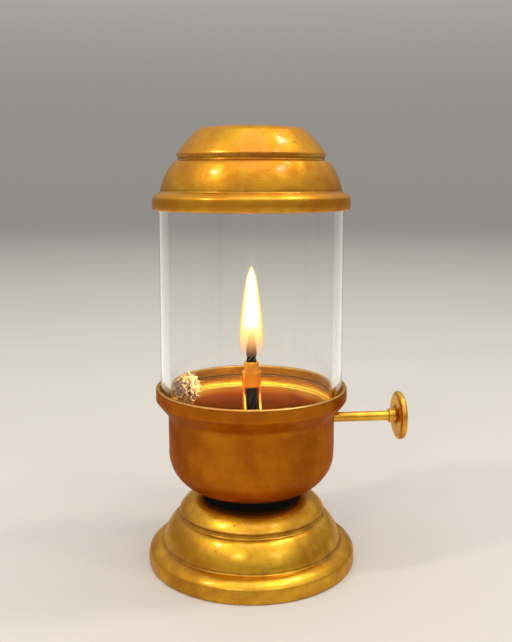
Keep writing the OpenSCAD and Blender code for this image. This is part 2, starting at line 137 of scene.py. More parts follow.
class DiyaSizes(bpy.types.PropertyGroup):
    """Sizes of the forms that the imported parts' boxes don't give."""

    edge: length("Edge radius", 0.7, "Rounding of the spun sheet edges")
    groove_width: length("Groove width", 2.8, "Width of the grooves turned in lid and base")
    groove_depth: length("Groove depth", 0.6, "Depth of the grooves turned in lid and base")
    band_swell: length("Band swell", 0.3, "Swell of the upright bands of lid and base")

    lid_wall: length("Lid wall", 1.2, "Wall of the lid")
    brim_wall: length("Brim wall", 2.0, "Wall of the lid's brim")
    brim_height: length("Brim height", 5.1, "Height of the lid's upright brim")
    lid_shoulder: length("Lid shoulder", 2.3, "Rise of the slope from brim to dome")
    lid_shoulder_swell: length("Lid shoulder swell", 0.2, "Swell of that slope")
    lid_dome_radius: length("Lid dome radius", 36.9, "Radius at the foot of the lid's dome")
    lid_groove_radius: length("Lid groove radius", 31.5, "Radius at the lid's groove")
    lid_groove_height: length("Lid groove height", 19.1, "Height of the groove above the lid's edge")
    lid_step: length("Lid step", 1.2, "Step inwards from the lid's lower stage to its upper one")
    lid_top_radius: length("Lid top radius", 20.75, "Radius of the lid's flat top")
    vent_radius: length("Vent radius", 14.0, "Radius of the lid's vent")
    lid_swell_low: length("Lower lid swell", 0.8, "Swell of the lid's lower stage")
    lid_swell_high: length("Upper lid swell", 0.6, "Swell of the lid's upper stage")

    base_wall: length("Base wall", 1.5, "Wall of the base")
    ring_wall: length("Ring wall", 2.0, "Wall of the base's foot ring")
    band_height: length("Band height", 5.8, "Height of the upright band of the foot ring")
    base_shoulder: length("Base shoulder", 3.2, "Rise of the slope from band to dome")
    base_shoulder_swell: length("Base shoulder swell", 0.7, "Swell of that slope")
    base_dome_radius: length("Base dome radius", 37.5, "Radius at the foot of the base's dome")
    base_groove_radius: length("Base groove radius", 31.5, "Radius at the base's groove")
    base_groove_height: length("Base groove height", 19.6, "Height of the groove above the floor")
    base_step: length("Base step", 1.0, "Step inwards from the base's lower stage to its upper one")
    base_top_radius: length("Base top radius", 23.75, "Radius of the base's flat top")
    stud_hole_radius: length("Stud hole radius", 3.2, "Radius of the stud's hole")
    base_swell_low: length("Lower base swell", 1.0, "Swell of the base's lower stage")
    base_swell_high: length("Upper base swell", 0.6, "Swell of the base's upper stage")

    bowl_wall: length("Bowl wall", 1.2, "Wall of the oil bowl")
    bowl_radius: length("Bowl radius", 34.5, "Radius of the bowl's upright wall")
    bowl_bottom_radius: length("Bowl bottom radius", 23.8, "Radius of the bowl's flat bottom")
    bowl_corner: length("Bowl corner", 16.0, "Radius of the round corner between bottom and wall")
    lip_wall: length("Lip wall", 1.8, "Wall of the lip round the chimney")
    step_radius: length("Step radius", 35.7, "Inner radius of the step below the chimney's seat")
    seat_depth: length("Seat depth", 4.6, "Depth of the chimney's seat below the lip")
    step_depth: length("Step depth", 3.3, "Depth of the step below the seat")
    lip_drop: length("Lip drop", 0.4, "Reach of the lip's outer band below the seat")
    slope_height: length("Slope height", 6.4, "Height of the slope from the wall out to the lip's band")

    glass_wall: length("Glass wall", 4.0, "Wall of the chimney")
    glass_edge: length("Glass edge", 0.8, "Radius of the chimney's rounded rims")

    wick_radius: length("Wick radius", 2.1, "Radius of the wick")
    strand_radius: length("Strand radius", 0.86, "Radius of one cotton strand of the wick")
    strand_count: IntProperty(name="Strands", description="Cotton strands in the wick", default=6, min=3)
    lay_length: length("Lay length", 16.0, "Length of wick over which its strands turn once")
    flame_radius: length("Flame radius", 5.2, "Widest radius of the flame")
    flame_height: length("Flame height", 40.0, "Height of the flame")
    flame_sink: length("Flame sink", 4.9, "Depth of the flame's foot below the wick's tip")

    spindle_radius: length("Spindle radius", 2.0, "Radius of the spindle")
    rivet_radius: length("Rivet radius", 2.8, "Radius of the peened head outside the knob")
    hub_radius: length("Hub radius", 3.0, "Radius of the knob's hub")
    hub_length: length("Hub length", 3.2, "Length of the knob's hub")
    knob_thickness: length("Knob thickness", 3.0, "Thickness of the knob's disc")
    knob_dish: length("Knob dish", 0.5, "Depth of the dish in the knob's outer face")
    thread_pitch: length("Thread pitch", 1.0, "Pitch of the stud's thread")


class DiyaColours(bpy.types.PropertyGroup):
    """Colours of the finishes, as they look in plain light."""

    lid_brass: colour("Lid brass", 226, 167, 36, "Polished golden brass of the lid")
    lid_stain: colour("Lid stain", 198, 126, 10, "Warm stain in the lid's brass")
    base_brass: colour("Base brass", 233, 178, 42, "Yellow brass of the base")
    base_stain: colour("Base stain", 184, 124, 12, "Olive stain in the base's brass")
    # painted shade: the bowl's brass and stain are deeper than the lid's, partly as painted shade
    bowl_brass: colour("Bowl brass", 188, 110, 10, "Deep golden brass of the bowl")
    # painted light: brass inside the bowl made brighter to stand in for the flame's glow on it
    bowl_inside_painted_glow: colour("Bowl inside", 252, 214, 96, "Bright brass inside the bowl")
    bowl_stain: colour("Bowl stain", 156, 82, 4, "Brown stain in the bowl's brass")
    turned_brass: colour("Turned brass", 242, 188, 64, "Brass of the small turned pieces")
    turned_stain: colour("Turned stain", 206, 130, 24, "Stain in the small turned pieces")
    grime: colour("Grime", 104, 60, 8, "Old polish and oil in the corners")
    cotton: colour("Cotton", 206, 178, 140, "Oil-yellowed cotton")
    cotton_pale: colour("Pale cotton", 222, 208, 184, "Cotton that has kept its pale tone")
    # painted shade: this tone darkens the tuft's cotton deep among its nubs
    cotton_painted_shade: colour("Cotton hollow", 156, 118, 78, "Oily cotton deep in the tuft")
    char: colour("Char", 12, 8, 7, "Burnt cotton")
    # painted shadow: the spacer's near-black tone also stands in for the shadow in the gap between bowl and
    # base
    rubber: colour("Rubber", 9, 8, 8, "Black spacer")
    fibre: colour("Fibre", 128, 52, 34, "Vulcanised fibre seal")
    steel: colour("Steel", 196, 196, 192, "Plated steel")
    floor: colour("Floor", 216, 212, 206, "Floor under the lamp")


class DiyaStage(bpy.types.PropertyGroup):
    """Where the camera stands and how it looks."""

    azimuth: angle("Azimuth", -6, "Camera's turn about the lamp")
    pitch: angle("Pitch", 7, "Camera's tilt below the horizon")
    distance: length("Distance", 340, "Level distance from the lamp's axis to the camera")
    height: length("Height", 159.2, "Camera's height above the floor")
    aside: length("Aside", 1.9, "Camera's step to the right of the lamp's axis")
    lens: FloatProperty(name="Lens", description="Focal length", default=46.8, min=10, unit="CAMERA")
    shift: FloatProperty(name="Shift", description="Vertical shift of the frame", default=-0.06)


# Outlines and turned shapes


def swell_line(start, end, swell, spacing):
    """Points from start to end on an arc that stands out by swell to the right of the way."""
    chord = (end - start).length
    steps = max(2, round(chord / spacing))
    if abs(swell) < NO_LENGTH:
        return [start.lerp(end, i / steps) for i in range(steps + 1)]
    along = (end - start) / chord
    side = Vector((along.y, -along.x))
    half = 2 * math.atan(2 * swell / chord)
    radius = chord / (2 * math.sin(half))
    middle = (start + end) / 2
    points = []
    for i in range(steps + 1):
        turn = half * (2 * i / steps - 1)
        out = radius * (math.cos(turn) - math.cos(half))
        points.append(middle + along * (radius * math.sin(turn)) + side * out)
    return points


class Outline:
    """A section in the half plane beside an axis, drawn corner by corner."""

    def __init__(self, spacing=0.5 * MM):
        self.spacing = spacing
        self.corners = []

    def to(self, r, z, fillet=0.0, swell=0.0):
        """Adds a corner, rounded by fillet, reached on a line that swells outwards."""
        self.corners.append((Vector((r, z)), fillet, swell))

    def points(self, closed=True):
        """The finished line, with each corner rounded."""
        first = 0 if closed else 1
        spans = []
        for i in range(first, len(self.corners)):
            start, start_fillet, _ = self.corners[i - 1]
            end, end_fillet, swell = self.corners[i]
            line = swell_line(start, end, swell, self.spacing)
            spans.append(trimmed(line, start_fillet, end_fillet))
        line = []
        for i, span in enumerate(spans):
            line += span
            corner, fillet, _ = self.corners[first + i]
            at_end = not closed and i + 1 == len(spans)
            if fillet > 0 and not at_end:
                following = spans[(i + 1) % len(spans)]
                line += bend(span[-1], corner, following[0])
        return without_repeats(line, closed)


def trimmed(line, cut_start, cut_end):
    """A line of points with its ends cut back to leave room for bends."""
    total = sum((b - a).length for a, b in zip(line, line[1:]))
    cut_start = min(cut_start, BEND_SHARE * total)
    cut_end = min(cut_end, BEND_SHARE * total)
    return without_start(without_start(line, cut_start)[::-1], cut_end)[::-1]


def without_start(line, cut):
    """A line of points without its first stretch of length cut."""
    if cut <= 0:
        return line
    gone = 0.0
    for i, (a, b) in enumerate(zip(line, line[1:])):
        step = (b - a).length
        if gone + step > cut:
            return [a.lerp(b, (cut - gone) / step)] + line[i + 1 :]
        gone += step
    return line[-1:]


def bend(start, corner, end):
    """Points of a smooth bend from start to end, drawn towards the corner; the ends are left out."""
    points = []
    for i in range(1, BEND_STEPS):
        t = i / BEND_STEPS
        points.append(start * (1 - t) ** 2 + corner * (2 * t * (1 - t)) + end * t**2)
    return points


def without_repeats(line, closed):
    """A line of points with coinciding neighbours merged."""
    kept = [line[0]]
    for point in line[1:]:
        if (point - kept[-1]).length > SAME_POINT:
            kept.append(point)
    if closed and (kept[0] - kept[-1]).length < SAME_POINT:
        kept.pop()
    return kept


def bend_masks(line, closed):
    """How sharply the line turns outwards, mostly where it runs level, and inwards, from 0 to 1."""
    count = len(line)
    turns = []
    for i in range(count):
        if not closed and i in (0, count - 1):
            turns.append(0.0)
            continue
        before = line[i] - line[i - 1]
        after = line[(i + 1) % count] - line[i]
        turns.append(math.atan2(before.x * after.y - before.y * after.x, before.dot(after)))
    outward = []
    inward = []
    for i in range(count):
        window = [k % count for k in range(i - MARK_POINTS, i + MARK_POINTS + 1)]
        near = [turns[k] for k in window if (line[k] - line[i]).length < MARK_REACH]
        way = line[(i + 1) % count] - line[i - 1]
        level = way.x / way.length
        touched = UPRIGHT_WEAR + (1 - UPRIGHT_WEAR) * level**2
        outward.append(min(1.0, sum(max(0.0, t) for t in near)) * touched)
        inward.append(min(1.0, sum(max(0.0, -t) for t in near)))
    return outward, inward


def revolve(name, line, segments=192, closed=True, dents=0.0, dent_scale=DENT_SCALE):
    """A mesh piece turned from a line of (radius, height), with its worn and grimy bends marked."""
    outward, inward = bend_masks(line, closed)
    verts = []
    wear = []
    grime = []
    rows = []
    for k, point in enumerate(line):
        at_axis = point.x < NO_LENGTH
        row = []
        for i in range(1 if at_axis else segments):
            turn = FULL_TURN * i / segments
            place = Vector((point.x * math.cos(turn), point.x * math.sin(turn), point.y))
            if dents and not at_axis:
                place.xy *= 1 + dents * (noise.noise(place * dent_scale) - DENT_BIAS) / point.x
            row.append(len(verts))
            verts.append(place)
            wear.append(outward[k])
            grime.append(inward[k])
        rows.append(row)
    faces = []
    pairs = list(zip(rows, rows[1:]))
    if closed:
        pairs.append((rows[-1], rows[0]))
    for low, high in pairs:
        for i in range(segments):
            j = (i + 1) % segments
            ring = [low[i % len(low)], low[j % len(low)], high[j % len(high)], high[i % len(high)]]
            face = list(dict.fromkeys(ring))
            if len(face) > 2:
                faces.append(face)
    piece = mesh_piece(name, verts, faces)
    store_mask(piece, "wear", wear)
    store_mask(piece, "grime", grime)
    return piece


def add_object(name, data):
    """A new object in the scene."""
    made = bpy.data.objects.new(name, data)
    bpy.context.scene.collection.objects.link(made)
    return made


def smooth_object(name, mesh):
    """A new object in the scene with a smooth-shaded mesh."""
    mesh.polygons.foreach_set("use_smooth", [True] * len(mesh.polygons))
    mesh.update()
    return add_object(name, mesh)


def mesh_piece(name, verts, faces):
    """A smooth-shaded piece from points and faces."""
    mesh = bpy.data.meshes.new(name)
    mesh.from_pydata([tuple(v) for v in verts], [], faces)
    return smooth_object(name, mesh)


def evaluated_mesh(piece):
    """A plain mesh of what an object's modifiers make of it."""
    depsgraph = bpy.context.evaluated_depsgraph_get()
    return bpy.data.meshes.new_from_object(piece.evaluated_get(depsgraph), depsgraph=depsgraph)


def store_mask(piece, label, values):
    """Stores one number for each point of a piece."""
    layer = piece.data.attributes.new(label, "FLOAT", "POINT")
    layer.data.foreach_set("value", values)


def mark_points(piece, label, value_at):
    """Stores a mask on a piece, worked out from each of its points."""
    store_mask(piece, label, [value_at(vertex) for vertex in piece.data.vertices])


def lay_along_spindle(piece):
    """Turns a shape made along Z from the origin so that it lies along the spindle's axis."""
    turn = Matrix(((0, 0, 1, 0), (0, 1, 0, 0), (-1, 0, 0, 0), (0, 0, 0, 1)))
    piece.data.transform(Matrix.Translation((0, SPINDLE_AXIS.y, SPINDLE_AXIS.z)) @ turn)


def smooth_route(points, steps=6):
    """A smooth line through given points."""
    line = []
    for i in range(len(points) - 1):
        a = points[max(i - 1, 0)]
        b = points[i]
        c = points[i + 1]
        d = points[min(i + 2, len(points) - 1)]
        square = 2 * a - 5 * b + 4 * c - d
        cube = 3 * b - a - 3 * c + d
        for k in range(steps):
            t = k / steps
            line.append(0.5 * (2 * b + (c - a) * t + square * t**2 + cube * t**3))
    return line + [points[-1]]


# Node trees


class Value:
    """An output of a node that plain expressions can use."""

    def __init__(self, nodes, made, label):
        self.nodes = nodes
        self.made = made
        self.label = label

    @property
    def socket(self):
        """The output's own socket."""
        return self.made.outputs[self.label]

    def output(self, label):
        """Another output of the same node."""
        return Value(self.nodes, self.made, label)

    def calculate(self, operation, *values, **settings):
        """A Math node on some values."""
        return self.nodes.node("ShaderNodeMath", dict(enumerate(values)), operation=operation, **settings)

    def __add__(self, other):
        return self.calculate("ADD", self, other)

    def __sub__(self, other):
        return self.calculate("SUBTRACT", self, other)

    def __rsub__(self, other):
        return self.calculate("SUBTRACT", other, self)

    def __mul__(self, other):
        return self.calculate("MULTIPLY", self, other)

    def __truediv__(self, other):
        return self.calculate("DIVIDE", self, other)

    __radd__ = __add__
    __rmul__ = __mul__

    def clamped(self):
        """The same number, kept from 0 to 1."""
        return self.calculate("ADD", self, 0.0, use_clamp=True)

    def between(self, low, high):
        """0 below low, 1 above high, and a soft rise between them."""
        inputs = {"Value": self, "From Min": low, "From Max": high}
        return self.nodes.node("ShaderNodeMapRange", inputs, "Result", interpolation_type="SMOOTHSTEP")


class Nodes:
    """A node tree under construction."""

    def __init__(self, tree):
        self.tree = tree

    def node(self, kind, inputs=None, output=0, **settings):
        """Any node: its settings first, then its sockets."""
        made = self.tree.nodes.new(kind)
        for key, value in settings.items():
            setattr(made, key, value)
        for key, value in (inputs or {}).items():
            self.feed(made.inputs[key], value)
        return Value(self, made, output)

    def feed(self, socket, value):
        """Gives a socket a number, a colour, another node's output or a list of outputs."""
        if isinstance(value, list):
            for item in value:
                self.feed(socket, item)
        elif isinstance(value, Value):
            self.tree.links.new(value.socket, socket)
        else:
            socket.default_value = value

    def mix(self, factor, first, second):
        """A colour between two colours."""
        return self.node("ShaderNodeMix", {0: factor, 6: first, 7: second}, 2, data_type="RGBA")


# Materials


class Finish(Nodes):
    """One material under construction."""

    def __init__(self, name):
        self.material = bpy.data.materials.new(name)
        self.material.use_nodes = True
        super().__init__(self.material.node_tree)
        self.tree.nodes.clear()

    def place(self):
        """The piece's own coordinates."""
        return self.node("ShaderNodeTexCoord", output="Object")

    def height(self):
        """Height above the floor."""
        return self.node("ShaderNodeSeparateXYZ", {"Vector": self.place()}, "Z")

    def cloud(self, scale, detail=3.0, roughness=0.55, stretch=(1, 1, 1), offset=0.0):
        """Soft noise over the surface, about 0 to 1."""
        inputs = {
            "Vector": self.node("ShaderNodeMapping", {"Vector": self.place(), "Scale": stretch}),
            "W": offset,
            "Scale": scale,
            "Detail": detail,
            "Roughness": roughness,
        }
        return self.node("ShaderNodeTexNoise", inputs, noise_dimensions="4D")

    def mark(self, name):
        """A mask stored on the mesh."""
        return self.node("ShaderNodeAttribute", output="Fac", attribute_name=name)

    def bump(self, height, distance):
        """A normal that follows a relief."""
        return self.node("ShaderNodeBump", {"Height": height, "Distance": distance}, "Normal")

    def surface(self, inputs):
        """One principled surface."""
        return self.node("ShaderNodeBsdfPrincipled", inputs, "BSDF")

    def close(self, surface):
        """Ends the material in a surface."""
        self.node("ShaderNodeOutputMaterial", {"Surface": surface})
        return self.material

    def finish(self, inputs):
        """Ends the material in one principled surface."""
        return self.close(self.surface(inputs))


def retoned(tone, factor, lift=0.0):
    """A tone with each channel multiplied and lifted, and no brighter than white."""
    return tuple(min(1.0, factor * channel + lift) for channel in tone[:3]) + (1.0,)


def brass_finish(
    name, clean, stain, grime, roughness, seed, dirt=0.5, polish=0.6, coat=0.4, painted_glow_tone=None
):
    """Hand-polished brass: cloudy stain, spinning marks, pits, bright edges and grimy corners.

    A brighter tone, smoother and oily, paints the flame's light where the mesh is marked as inside, from 1
    down to 0, and the grime tone takes over where the mark goes below 0, darkening the bowl towards its
    floor.
    """
    make = Finish(name)
    clouds = make.cloud(46, 5, 0.62, offset=seed).between(0.36, 0.68)
    blotches = make.cloud(150, 3, 0.6, offset=seed + 3).between(0.4, 0.75)
    pits = make.cloud(620, 2, 0.5, offset=seed + 5).between(0.65, 0.75)
    spun = make.cloud(1, 4, 0.7, stretch=(40, 40, 2400), offset=seed + 7)
    worn = make.mark("wear").between(0.25, 0.95)
    corner = make.mark("grime").between(0.15, 0.8)
    shade = make.mix(clouds, clean, stain)
    shade = make.mix(blotches * 0.6, shade, stain)
    oily = 0.0
    if painted_glow_tone:
        depth_mark = make.mark("inside")
        inside = depth_mark.clamped()
        # painted light: inside, the brighter tone stands in for the flame's glow; below the gallery the
        # tone turns darker towards the floor
        shade = make.mix(inside, shade, make.mix(clouds * 0.25, painted_glow_tone, stain))
        shade = make.mix(0.7 * (0 - depth_mark).clamped(), shade, grime)
        oily = 0.06 * inside
    shade = make.mix(pits * 0.55, shade, grime)
    shade = make.mix(corner * dirt * (0.55 + 0.45 * blotches), shade, grime)
    rubbed = tuple(0.3 * channel + 0.7 * shine for channel, shine in zip(clean, RUBBED_BRASS)) + (1.0,)
    # Rubbed edges turn brighter; at a polish of 1, as on the bowl, they also paint a highlight along the
    # lip.
    shade = make.mix(worn * (polish - 0.4 * clouds), shade, rubbed)
    rough = roughness + 0.14 * clouds + 0.06 * (spun - 0.5) + 0.12 * pits - 0.1 * polish * worn - oily
    relief = 0.55 * spun + 0.9 * blotches - 1.6 * pits
    return make.finish(
        {
            "Base Color": shade,
            "Metallic": 1.0,
            "Roughness": rough.clamped(),
            "Specular Tint": retoned(clean, 0.7, 0.3),
            "Coat Weight": coat,
            "Coat Roughness": 0.17,
            "Normal": make.bump(relief, 0.04 * MM),
        }
    )


def glass_finish(name):
    """Clear drawn tube: faint vertical draw lines, a few smears and ground rims, the seated one oily."""
    make = Finish(name)
    drawn = make.cloud(1, 2, 0.5, stretch=(220, 220, 5))
    streaks = make.cloud(1, 2, 0.5, stretch=(130, 130, 3), offset=2.0).between(0.5, 0.75)
    smears = make.cloud(38, 4, 0.6, stretch=(1, 1, 0.4)).between(0.52, 0.75)
    clear = make.surface(
        {
            "Base Color": make.mix(streaks, CLEAR_GLASS, STREAKED_GLASS),
            "Roughness": 0.012 + 0.05 * smears,
            "IOR": GLASS_INDEX,
            "Transmission Weight": 1.0,
            "Normal": make.bump(drawn, 0.02 * MM),
        }
    )
    rim_tone = make.mix(make.mark("seated"), GROUND_GLASS, OILY_GLASS)
    ground = make.surface({"Base Color": rim_tone, "Roughness": 0.4})
    rim = make.mark("rim").between(0.9, 1.0)
    return make.close(make.node("ShaderNodeMixShader", {0: rim * 0.55, 1: clear, 2: ground}))


def cotton_finish(name, tone, patch_and_shade_tone, seed, painted_depth_shade=False):
    """Loose cotton: soft and matt, with a second tone in random patches; where the flag after the seed is
    set, that tone is painted shade deep in the tuft.
    """
    make = Finish(name)
    lumps = make.cloud(420, 3, 0.6, offset=seed).between(0.35, 0.7)
    if painted_depth_shade:
        # painted shade: the second tone darkens the cotton deep among the nubs, where it would lie in
        # shadow
        lumps = make.mark("stands_out").between(0.0, 0.3) * (0.6 + 0.4 * lumps)
    fuzz = make.cloud(2600, 2, 0.7, offset=seed + 2)
    return make.finish(
        {
            "Base Color": make.mix(lumps, patch_and_shade_tone, tone),
            "Roughness": 0.92,
            "Sheen Weight": 0.35,
            "Subsurface Weight": 0.12,
            "Subsurface Radius": (0.002, 0.0015, 0.001),
            "Normal": make.bump(fuzz + lumps, 0.12 * MM),
        }
    )


def wick_finish(name, shade, char, foot, burnt_above):
    """The driven wick: pale at its foot, dark with oil and soot above it, burnt at its tip."""
    make = Finish(name)
    height = make.height()
    ragged = make.cloud(500, 3, 0.6) - 0.5
    burnt = (height + 0.004 * ragged).between(burnt_above - 2 * MM, burnt_above + 1 * MM)
    soaked = (height + 0.006 * ragged).between(foot, foot + 5 * MM)
    dark = make.mix(soaked * 0.985, shade, char)
    ash = make.cloud(1500, 2, 0.6).between(0.58, 0.8)
    ember = make.mix(ash * 0.3, char, shade)
    return make.finish(
        {
            "Base Color": make.mix(burnt, dark, ember),
            "Roughness": 0.9,
            "Specular IOR Level": 0.2,
            "Normal": make.bump(make.cloud(1800, 3, 0.6), 0.15 * MM),
        }
    )


def matt_finish(name, tone, roughness, grain_scale, grain_depth):
    """Rubber or pressed fibre: one tone, broken up by its grain."""
    make = Finish(name)
    grain = make.cloud(grain_scale, 3, 0.6)
    dusty = retoned(tone, 1.5, 0.004)
    return make.finish(
        {
            "Base Color": make.mix(grain.between(0.45, 0.8) * 0.6, tone, dusty),
            "Roughness": roughness + 0.1 * grain,
            "Specular IOR Level": 0.15,
            "Normal": make.bump(grain, grain_depth),
        }
    )


def steel_finish(name, tone):
    """Plated steel fasteners with fine scratches."""
    make = Finish(name)
    scratches = make.cloud(300, 3, 0.6, stretch=(6, 1, 1))
    tarnish = make.cloud(160, 4, 0.6).between(0.45, 0.75)
    return make.finish(
        {
            "Base Color": make.mix(tarnish * 0.6, tone, retoned(tone, 0.55)),
            "Metallic": 1.0,
            "Roughness": 0.28 + 0.2 * scratches,
            "Normal": make.bump(scratches, 0.01 * MM),
        }
    )


def flame_finish(name, glow, foot_tone, foot, full, tip, cover, strength):
    """One veil of the flame: it fades in above its foot and thins towards its tip.

    Foot, full and tip are shares of the flame's height, which the mesh carries as its climb.
    """
    make = Finish(name)
    climb = make.mark("climb")
    rise = climb.between(foot, full)
    fall = 1 - climb.between(full + 0.55 * (tip - full), tip)
    return make.finish(
        {
            "Base Color": (0.0, 0.0, 0.0, 1.0),
            "Roughness": 1.0,
            "Specular IOR Level": 0.0,
            "Emission Color": make.mix(rise, foot_tone, glow),
            "Emission Strength": strength,
            "Alpha": cover * rise * (0.35 + 0.65 * fall),
        }
    )


def floor_finish(name, tone):
    """Smooth pale floor, slightly uneven, darkened into grey far from the lamp by a painted fall-off of
    light.
    """
    make = Finish(name)
    near = make.mix(make.cloud(6, 3, 0.5), tone, retoned(tone, 0.95))
    away = make.node("ShaderNodeVectorMath", {0: make.place()}, "Value", operation="LENGTH")
    # painted fall-off of light: the floor's tone darkens with distance from the lamp
    shade = make.mix(away.between(0.1, 2.8), near, retoned(tone, 0.5))
    return make.finish({"Base Color": shade, "Roughness": 0.7, "Specular IOR Level": 0.25})


def dress(piece, material):
    """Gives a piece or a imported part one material."""
    if piece.material_slots:
        for held in piece.material_slots:
            held.material = material
    else:
        piece.data.materials.append(material)


def keep_unlit(piece, group):
    """Takes a piece out of the light of the lamps that are linked to a group."""
    shy = bpy.data.collections[group]
    shy.objects.link(piece)
    shy.collection_objects[-1].light_linking.link_state = "EXCLUDE"


def settle(piece, material, body, slot, *nodes):
    """Finishes a new piece: its material, the body it rides on and the parts it stands for.

    For a piece that crosses a joint, body is the two bodies and two points, and the piece is only fixed
    where it stands, riding on neither body.
    """
    dress(piece, material)
    if isinstance(body, str):
        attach(piece, body)
    else:
        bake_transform(piece)
    if nodes:
        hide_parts(*nodes)


# Geometry node trees


class Tree(Nodes):
    """A geometry node tree with named inputs for its sizes and its material, under construction."""

    def __init__(self, name, sizes, counts=()):
        super().__init__(bpy.data.node_groups.new(name, "GeometryNodeTree"))
        face = self.tree.interface
        face.new_socket("Geometry", in_out="INPUT", socket_type="NodeSocketGeometry")
        face.new_socket("Geometry", in_out="OUTPUT", socket_type="NodeSocketGeometry")
        kinds = dict.fromkeys(counts, "NodeSocketInt")
        kinds.update(dict.fromkeys(sizes, "NodeSocketFloat"))
        kinds["Material"] = "NodeSocketMaterial"
        self.names = {}
        for label, kind in kinds.items():
            self.names[label] = face.new_socket(label, in_out="INPUT", socket_type=kind).identifier
        self.entry = self.node("NodeGroupInput")

    def input(self, label):
        """One of the tree's own inputs."""
        return self.entry.output(label)

    def vector(self, operation, inputs):
        """A Vector Math node."""
        return self.node("ShaderNodeVectorMath", inputs, operation=operation)

    def scaled(self, direction, distance):
        """A direction made as long as a distance."""
        return self.vector("SCALE", {0: direction, "Scale": distance})

    def random_vector(self, low, high, seed):
        """A vector for each point, at random between two corners."""
        inputs = {0: low, 1: high, "Seed": seed}
        return self.node("FunctionNodeRandomValue", inputs, data_type="FLOAT_VECTOR")

    def scattered(self, mesh, density, seed):
        """Points at random on a mesh, so many to its square metre."""
        inputs = {"Mesh": mesh, "Density": density, "Seed": seed}
        return self.node("GeometryNodeDistributePointsOnFaces", inputs, "Points")

    def moved(self, geometry, offset):
        """Geometry with its points moved."""
        return self.node("GeometryNodeSetPosition", {"Geometry": geometry, "Offset": offset})

    def roughened(self, geometry, scale, swing):
        """Geometry with an uneven skin."""
        lumps = self.node("ShaderNodeTexNoise", {"Scale": scale, "Detail": 2.0})
        skin = self.node("GeometryNodeInputNormal")
        return self.moved(geometry, self.scaled(skin, (lumps - 0.5) * swing))

    def ring(self, resolution, radius):
        """A round profile."""
        return self.node("GeometryNodeCurvePrimitiveCircle", {"Resolution": resolution, "Radius": radius})

    def swept(self, curve, profile, caps=True):
        """A profile drawn along a curve."""
        inputs = {"Curve": curve, "Profile Curve": profile, "Fill Caps": caps}
        return self.node("GeometryNodeCurveToMesh", inputs)

    def finish(self, *parts):
        """Ends in plain geometry that carries its material."""
        joined = self.node("GeometryNodeJoinGeometry", {"Geometry": list(parts)})
        plain = self.node("GeometryNodeRealizeInstances", {"Geometry": joined})
        inputs = {"Geometry": plain, "Material": self.input("Material")}
        painted = self.node("GeometryNodeSetMaterial", inputs)
        self.node("NodeGroupOutput", {"Geometry": painted})
        return self

    def grow(self, name, source, values):
        """Runs the tree on an object and returns the result as a plain mesh piece."""
        grower = source.modifiers.new("grow", "NODES")
        grower.node_group = self.tree
        for label, value in values.items():
            grower[self.names[label]] = value
        mesh = evaluated_mesh(source)
        mesh.name = name
        bpy.data.objects.remove(source)
        return smooth_object(name, mesh)


def line_object(name, points):
    """A plain poly curve through points, for a tree to work on."""
    curve = bpy.data.curves.new(name, "CURVE")
    curve.dimensions = "3D"
    spline = curve.splines.new("POLY")
    spline.points.add(len(points) - 1)
    for knot, point in zip(spline.points, points):
        knot.co = (*point, 1.0)
    return add_object(name, curve)


def strand_tree():
    """Twisted strands laid round a path, each a slightly uneven yarn."""
    tree = Tree("twisted strands", ["Lay Length", "Ring Radius", "Strand Radius", "Fuzz"], ["Strands"])
    spaced = {"Curve": tree.input("Geometry"), "Length": 0.5 * MM}
    path = tree.node("GeometryNodeResampleCurve", spaced, mode="LENGTH")
    strands = tree.input("Strands")
    copies = tree.node(
        "GeometryNodeDuplicateElements", {"Geometry": path, "Amount": strands}, "Geometry", domain="SPLINE"
    )
    along = tree.node("GeometryNodeSplineParameter", output="Length")
    share = copies.output("Duplicate Index") / strands
    turn = (along / tree.input("Lay Length") + share) * FULL_TURN
    normal = tree.node("GeometryNodeInputNormal")
    tangent = tree.node("GeometryNodeInputTangent")
    across = tree.vector("CROSS_PRODUCT", {0: tangent, 1: normal})
    radius = tree.input("Ring Radius")
    out = tree.scaled(normal, turn.calculate("COSINE", turn) * radius)
    aside = tree.scaled(across, turn.calculate("SINE", turn) * radius)
    wound = tree.moved(copies, tree.vector("ADD", {0: out, 1: aside}))
    yarn = tree.swept(wound, tree.ring(10, tree.input("Strand Radius")))
    return tree.finish(tree.roughened(yarn, 900.0, tree.input("Fuzz")))


